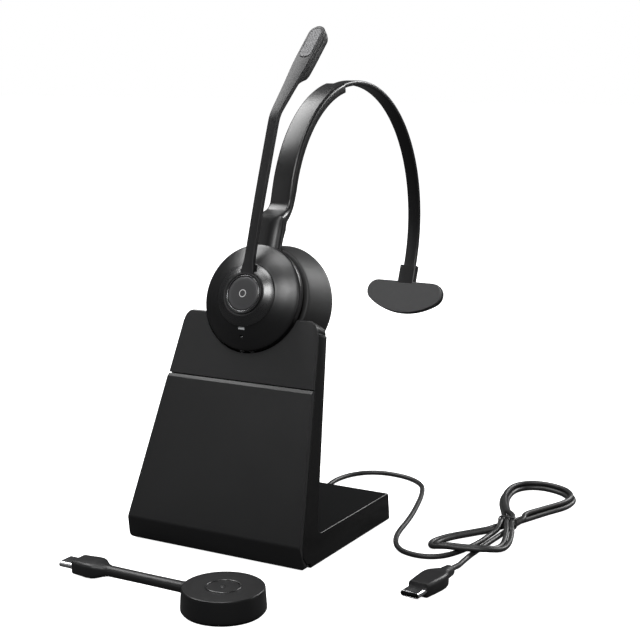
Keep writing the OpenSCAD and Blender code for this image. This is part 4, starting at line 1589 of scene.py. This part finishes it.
@dataclass
class MicrophoneBoom:
    """The boom: sloping collar, flat arm with a kink, and microphone head."""

    arm_w: float = 4.6
    arm_t: float = 2.2
    kink_from: float = 74.5
    kink_e: float = 10.5
    kink_r: float = 16.0
    kink: float = math.radians(26.5)
    tip_u: float = 54.0
    tip_r: float = 4.0
    head_u: float = 26.0
    head_depth: float = 6.3

    def build(self) -> None:
        """Makes the collar, the arm and the head."""
        self.collar()
        self.arm()
        self.head()
        self.grille()
        redress(Set.STEEL, "boom_clip", "mic_capsule")

    def front(self, u: float) -> tuple[Vector, Vector]:
        """A point of the arm's front face past the kink.

        Args:
            u: Distance from the kink along the arm.

        Returns:
            The point and the face's outward direction, in the cup's frame, in millimetres.
        """
        s, c = math.sin(self.kink), math.cos(self.kink)
        t = self.kink_from + self.kink_r * s + (u - 3.2) * c
        e = self.kink_e - self.kink_r + self.kink_r * c - (u - 3.2) * s
        return Vector((0, t, e)), Vector((0, s, c))

    def width(self, t: float) -> float:
        """Half the arm's width at a distance from the cup's axis."""
        stations = (
            (9.9, 3.1), (11.2, 2.9), (14, 2.35), (20, 2.25), (80, self.arm_w / 2), (90, 2.75), (97, 3.2),
            (103, 3.75), (108, 4.0), (140, 4.0),
        )
        for (a, wa), (b, wb) in zip(stations, stations[1:]):
            if t <= b:
                return wa + (wb - wa) * max(0.0, t - a) / (b - a)
        return stations[-1][1]

    def half_head(self, u: float) -> float:
        """Half the width near the rounded tip."""
        radius = self.tip_r
        inside = self.tip_u - u
        if inside >= radius:
            return self.width(self.front(u)[0].y)
        return max(0.35, math.sqrt(max(0.0, radius ** 2 - (radius - inside) ** 2)))

    def collar(self) -> None:
        """The sloping collar round the hub, with the slot for the arm's root."""
        profile = [
            (8.0, 3.2), (8.89, 3.2), (8.89, 6.05), (13.62, 6.05), (13.7, 6.15), (13.62, 6.3), (13.4, 6.5),
            (12, 7.22), (10.6, 7.93), (9.85, 8.3), (9.6, 8.4), (9.3, 8.42), (8.0, 8.42),
        ]
        made = Maker.turned("boom_collar_piece", profile, CUP, Set.COLLAR, 128, 35)
        slot = [[CUP @ (Vector((x, t, e)) * MM) for t in (9.7, 20) for x, e in half]
                for half in (((-3.1, 6.6), (-5.6, 9.2)), ((3.1, 6.6), (5.6, 9.2)))]
        slot = [[ring[0], ring[1], ring[3], ring[2]] for ring in slot]
        Maker.cut(made, Maker.loft("cutter", slot, Set.COLLAR, 30))
        made.data.shade_smooth()
        made.data.set_sharp_from_angle(angle=math.radians(35))
        settle(made, "boom", "shell_black", "boom_collar")
        hub = [(8.02, 8.5), (8.84, 8.5), (8.9, 8.8), (8.86, 9.08), (8.72, 9.2), (8.2, 9.22), (8.06, 9.12)]
        ring = Maker.turned("boom_hub", hub, CUP, Set.BOOM, 128, 40)
        settle(ring, "boom", "boom_black", "boom_arm")

    def arm(self) -> None:
        """The flat arm, from the hub to the rounded tip."""
        x = Vector((1, 0, 0))
        rings = []
        near = (
            (8.6, 9.2), (10, 9.22), (11.2, 9.3), (14, 9.4), (20, 9.62), (30, 9.98), (40, 10.3),
            (52, 10.42), (64, 10.5), (71, 10.5), (74.4, 10.5),
        )
        for k, (t, e) in enumerate(near):
            thick = 0.62 if t < 9.5 else 1.0 if t < 11 else self.arm_t / 2
            middle = Vector((0, t, e)) - Vector((0, 0, 1)) * thick
            rings.append(section(middle, x, Vector((0, 0, 1)), self.width(t), thick, 0.4, 0.25))
        bend = Vector((0, self.kink_from, self.kink_e - self.kink_r))
        for k in range(1, 8):
            a = self.kink * k / 7
            out = Vector((0, math.sin(a), math.cos(a)))
            spot = bend + out * (self.kink_r - self.arm_t / 2)
            rings.append(section(spot, x, out, self.width(spot.y), self.arm_t / 2, 0.4, 0.25))
        for u in (8, 14, 18, 22, 26, 30, 34, 40, 45, 48, 50, 51, 52, 52.8, 53.4, 53.8, 54):
            face, out = self.front(u)
            rings.append(
                section(face - out * self.arm_t / 2, x, out, self.half_head(u), self.arm_t / 2, 0.4, 0.25)
            )
        placed = [[CUP @ p for p in ring] for ring in rings]
        made = Maker.loft("boom_arm_piece", placed, Set.BOOM, 28)
        settle(made, "boom", "boom_black")

    def head(self) -> None:
        """The deeper back of the microphone head, cut slanting at its end."""
        x = Vector((1, 0, 0))
        h, depth = self.head_u, self.head_depth - self.arm_t
        stations = (
            (h - 6.4, 0.06), (h - 5.6, 0.4), (h - 2.4, 2.4), (h - 0.9, 3.3), (h + 0.3, 3.8),
            (h + 1.8, 4.05), (h + 3.4, depth), (h + 10, depth), (h + 20, depth),
            (self.tip_u - 5, depth), (self.tip_u - 4, depth - 0.12), (self.tip_u - 3, 3.45),
            (self.tip_u - 2, 2.5), (self.tip_u - 1.2, 1.3), (self.tip_u - 0.7, 0.3),
        )
        rings = []
        for u, deep in stations:
            face, out = self.front(u)
            middle = face - out * (self.arm_t + 0.03 + deep / 2)
            rings.append(section(middle, x, out, self.half_head(u) - 0.04, deep / 2, 0.12, 1.5, 5))
        made = Maker.loft("mic_head_back", [[CUP @ p for p in ring] for ring in rings], Set.BOOM, 40)
        settle(made, "boom", "boom_black", "mic_housing")
        face, out = self.front(46)
        port_at = CUP @ Matrix.Translation((face - out * 3.4) * MM)
        turn = Matrix.Rotation(math.pi / 2, 4, "Y")
        port = [(0, 3.5), (0.55, 3.5), (0.75, 3.7), (0.75, 4.02), (0.6, 4.05), (0.5, 3.86), (0, 3.8)]
        made = Maker.turned("mic_side_port", port, port_at @ turn, Set.INNER, 24, 40)
        settle(made, "boom", "inner_black")

    def grille_place(self) -> Matrix:
        """The frame of the grille: Y along the head, Z out of its face."""
        face, _ = self.front(43.2)
        return CUP @ Matrix.Translation(face * MM) @ Matrix.Rotation(-self.kink, 4, "X")

    def grille(self) -> None:
        """The long oval grille: a rim, a dark bed and fine slanting ribs."""
        place = self.grille_place()
        oval = arc((0, 6.1), 2.75, 0, 180, 14) + arc((0, -6.1), 2.75, 180, 360, 14)
        wide = arc((0, 6.1), 3.05, 0, 180, 14) + arc((0, -6.1), 3.05, 180, 360, 14)
        steps = ((wide, 0.02), (wide, 0.2), (oval, 0.34), (oval, 0.04))
        rings = [[place @ (Vector((x, y, z)) * MM) for x, y in line] for line, z in steps]
        rim = Maker.loft("mic_grille_rim", rings, Set.GRILLE, 40, closed=True)
        settle(rim, "boom", "grille", "mic_grille")
        bed = Maker.slab("mic_grille_bed", oval, 0.01, 0.06, place, Set.INNER)
        settle(bed, "boom", "inner_black")
        tree = PatternTree("mic_grille_ribs")
        count = tree.size("Ribs", "Int", 20)
        pitch = tree.size("Pitch", "Float", 1.05 * MM)
        slant = tree.size("Slant", "Float", math.radians(38))
        line = tree.node("GeometryNodeMeshLine", {"mode": "OFFSET"}, {
            "Count": count, "Offset": tree.vector(0.0, pitch, 0.0),
            "Start Location": tree.vector(0.0, tree.math("MULTIPLY", pitch, -9.5), 0.16 * MM),
        })
        bar = tree.node("GeometryNodeMeshCube", None, {"Size": (9.0 * MM, 0.56 * MM, 0.2 * MM)})
        ribs = tree.node("GeometryNodeInstanceOnPoints", None, {
            "Points": line.outputs[0], "Instance": bar.outputs[0], "Rotation": tree.vector(0.0, 0.0, slant),
        })
        made = tree.make("mic_grille_ribs", ribs.outputs[0], Set.GRILLE, place)
        Maker.cut(made, Maker.slab("cutter", oval, -0.5, 1.0, place, Set.GRILLE), "INTERSECT")
        settle(made, "boom", "grille")


# --- Headband --------------------------------------------------------------------------------


@dataclass
class Headband:
    """The headband: neck and sleeve, thin sliding band and far rest."""

    neck_w: float = 7.0
    sleeve_w: float = 5.4
    sleeve_c: Point2 = (78.6, 133.0)
    sleeve_r: float = 61.6
    sleeve_t: float = 4.4
    band_c: Point2 = (83.6, 123.8)
    band_r: float = 70.8
    band_t: float = 2.3
    band_w: float = 6.5

    def build(self) -> None:
        """Makes the sleeve, the band and the rest."""
        self.sleeve()
        self.strap()
        bar = Maker.softened("temple_bar", Set.STRAP, 0.35)
        settle(bar, "headband", "strap_black", "temple_bar")
        pad = Maker.softened("temple_pad", Set.PAD, 0.55)
        settle(pad, "headband", "pad_grey", "temple_pad")
        cover = Maker.softened("sleeve_cover", Set.ARM, 0.1)
        settle(cover, "headset", "arm_black", "sleeve_cover")

    def outline(self) -> list[tuple[Point2, Point2, float, float]]:
        """Stations of the neck and sleeve.

        Returns:
            For each, its outer and inner point in the side view, half its width, and its front radius.
        """
        def plate(s: float, e: float) -> Point2:
            """A point s up the plate and e out of it, in the side view."""
            return (
                -40 + s * math.sin(LEAN) - e * math.cos(LEAN),
                9.4 + s * math.cos(LEAN) + e * math.sin(LEAN),
            )

        cup = CUP_REACH / MM
        rows = [
            (plate(cup + 19.2, 0.2), plate(cup + 19.2, -4.4), self.neck_w, 3.7),
            (plate(cup + 24, 0.2), plate(cup + 23, -4.4), self.neck_w, 3.7),
            (plate(cup + 29, 0.2), plate(cup + 27, -4.5), self.neck_w, 3.7),
            (plate(cup + 33, 0.2), (11.2, 132.0), self.neck_w, 3.6),
            (plate(cup + 34.8, 0.1), (11.5, 133.3), 6.95, 3.0),
            ((8.5, 138.6), (12.0, 134.2), 6.8, 2.2),
            ((11.0, 139.35), (13.1, 135.1), 6.4, 1.9),
            ((13.4, 139.9), (14.9, 136.1), 6.05, 1.7),
            ((15.2, 140.6), (16.9, 137.4), 5.8, 1.6),
            ((16.6, 141.7), (18.9, 139.2), 5.6, 1.5),
            ((17.5, 143.1), (20.6, 141.4), 5.45, 1.4),
            ((18.0, 145.0), (21.9, 144.1), 5.4, 1.3),
            ((18.45, 146.7), (22.7, 146.2), 5.4, 1.3),
        ]
        steps = 26
        for k in range(steps + 1):
            a = math.radians(165.0 + (101.0 - 165.0) * k / steps)
            ray = (math.cos(a), math.sin(a))
            outer = tuple(c + self.sleeve_r * d for c, d in zip(self.sleeve_c, ray))
            inner = tuple(c + (self.sleeve_r - self.sleeve_t) * d for c, d in zip(self.sleeve_c, ray))
            rows.append((outer, inner, self.sleeve_w, 1.3))
        return rows

    def sleeve(self) -> None:
        """The neck and hollow sleeve, in one smooth moulding with an open channel."""
        rings = []
        x = Vector((1, 0, 0))
        for outer, inner, half, front in self.outline():
            spread = 1.0 + 0.75 * max(0.0, min(1.0, (front - 1.9) / 1.2))
            a, b = Vector((0, *outer)), Vector((0, *inner))
            out = (a - b).normalized()
            rings.append(section((a + b) / 2, x, out, half, (a - b).length / 2, front, 0.7, 7, spread))
        made = Maker.loft("headband_arm_piece", rings, Set.ARM, 32)
        low, high = self.band_r - self.band_t - 0.1, self.band_r + 0.1
        channel = self.bow("cutter", low, high, self.band_w / 2 + 0.1, 80, 131.5, 0.5)
        Maker.cut(made, channel)
        made.data.shade_smooth()
        made.data.set_sharp_from_angle(angle=math.radians(32))
        settle(made, "headset", "arm_black", "headband_arm")

    def bow(
        self, name: str, low: float, high: float, half: float, first: float, last: float, corner: float
    ) -> bpy.types.Object:
        """A bar bent along the band's circle.

        Args:
            name: The piece's name.
            low: Its inner radius.
            high: Its outer radius.
            half: Half its width.
            first: The angle where it starts, in degrees.
            last: The angle where it ends.
            corner: The radius of its section's corners.

        Returns:
            The bar.
        """
        steps = max(8, int(abs(last - first) / 1.5))
        rings = []
        for k in range(steps + 1):
            a = math.radians(first + (last - first) * k / steps)
            out = Vector((0, math.cos(a), math.sin(a)))
            middle = Vector((0, *self.band_c)) + out * (low + high) / 2
            rings.append(section(middle, Vector((1, 0, 0)), out, half, (high - low) / 2, corner, corner, 3))
        return Maker.loft(name, rings, Set.STRAP, 40)

    def strap(self) -> None:
        """The thin sprung band."""
        low, high = self.band_r - self.band_t, self.band_r
        made = self.bow("headband_strap_piece", low, high, self.band_w / 2, -26.5, 130.0, 0.65)
        settle(made, "headband", "strap_black", "headband_strap")


# --- Wireless adapter ------------------------------------------------------------------------


@dataclass
class WirelessAdapter:
    """The round wireless adapter with its short lead-like neck and plug."""

    centre: Point2 = (36.1, -85.2)
    radius: float = 16.4
    height: float = 9.7
    neck_z: float = 5.8
    plug_x: float = -33.0

    def build(self) -> None:
        """Makes the case, the neck and the plug."""
        place = Matrix.Translation((self.centre[0] * MM, self.centre[1] * MM, 0))
        self.case(place)
        self.neck()
        shell = Maker.softened("adapter_shell", Set.SHELL_METAL, 0.1)
        settle(shell, "adapter", "plug_metal", "adapter_shell")
        redress(Set.INNER, "adapter_tongue")
        redress(Set.BOARD, "adapter_board")
        mouth = Matrix.Translation(Vector((self.plug_x, self.centre[1], self.neck_z)) * MM)
        turn = Matrix.Rotation(-math.pi / 2, 4, "Y") @ Matrix.Rotation(math.pi / 2, 4, "Z")
        settle(contact_rows("adapter_contacts", mouth @ turn), "adapter", "gold")

    def case(self, place: Matrix) -> None:
        """The round case, its base and the raised ring on its top.

        Args:
            place: The case's frame.
        """
        r, h = self.radius, self.height
        cap = [
            (r - 0.05, 1.1), (r, 1.25), (r, 2.0), (r - 0.44, h - 1.0), (r - 0.5, h - 0.55),
            (r - 0.62, h - 0.2), (r - 0.85, h - 0.03), (r - 1.3, h), (10.2, h - 0.06), (7.6, h - 0.06),
            (6.95, h - 0.08), (6.9, h - 0.3), (6.2, h - 0.3), (6.1, h - 0.1), (5.6, h - 0.08),
            (0, h - 0.08), (0, h - 1.3), (r - 2.1, h - 1.3), (r - 1.5, 1.1),
        ]
        top = Maker.turned("adapter_cap_piece", cap, place, Set.ADAPTER, 96, 32)
        settle(top, "adapter", "panel_black", "adapter_cap")
        base = rounded([(0.0, 0.0), (r - 1, 0.0), (r - 0.4, 0.6), (r - 0.4, 1.0), (r - 1.6, 1.0),
                        (r - 1.6, 1.8), (0.0, 1.8)], 0.12, 2)
        base = [(max(0.0, a), b) for a, b in base]
        bottom = Maker.turned("adapter_base_piece", base, place, Set.STAND, 96, 32)
        settle(bottom, "adapter", "stand_black", "adapter_base")
        ring = [(6.25, h - 0.28), (6.85, h - 0.28), (6.85, h + 0.08), (6.75, h + 0.2), (6.55, h + 0.24),
                (6.35, h + 0.2), (6.25, h + 0.08)]
        badge = Maker.turned("adapter_ring", ring, place, Set.COLLAR, 96, 50)
        settle(badge, "adapter", "badge", "adapter_badge")
        dot = [(0, h - 0.1), (1.2, h - 0.1), (1.2, h - 0.02), (1.1, h + 0.02), (0, h + 0.03)]
        mark = Maker.turned("adapter_dot", dot, place, Set.COLLAR, 48, 50)
        settle(mark, "adapter", "badge")

    def neck(self) -> None:
        """The moulded neck, flaring into the plug's grip at one end and the case at the other."""
        y, z = self.centre[1], self.neck_z
        stations = (
            (-33.0, 4.2, 2.5, 1.2), (-32.9, 4.5, 2.75, 1.3), (-32.4, 4.75, 2.85, 1.4), (-28, 5.2, 2.95, 1.5),
            (-26, 5.5, 3.0, 1.5), (-23.4, 5.45, 3.0, 1.6), (-22, 4.9, 2.9, 1.7), (-19.6, 3.2, 2.5, 1.9),
            (-18.2, 2.6, 2.25, 1.9), (-17, 2.4, 2.1, 1.9), (0, 2.35, 2.05, 1.9), (17, 2.4, 2.1, 1.9),
            (19, 2.7, 2.2, 1.9), (20.6, 3.4, 2.4, 1.9), (21.4, 4.2, 2.5, 1.9),
        )
        rings = [
            section(Vector((x, y, z)), Vector((0, -1, 0)), Vector((0, 0, 1)), w, h, r, r, 5)
            for x, w, h, r in stations
        ]
        made = Maker.loft("adapter_neck", rings, Set.PLUG, 40)
        settle(made, "adapter", "plug_black", "adapter_flex")


def main() -> None:
    """Builds the set, piece by piece."""
    logging.basicConfig(level=logging.INFO, format="%(name)s: %(message)s")
    for assembly in (
        Studio(), UsbLead(), ChargingStand(), EarCup(), MicrophoneBoom(), Headband(), WirelessAdapter(),
    ):
        LOG.info("building %s", type(assembly).__name__)
        assembly.build()


if __name__ == "__main__":
    main()
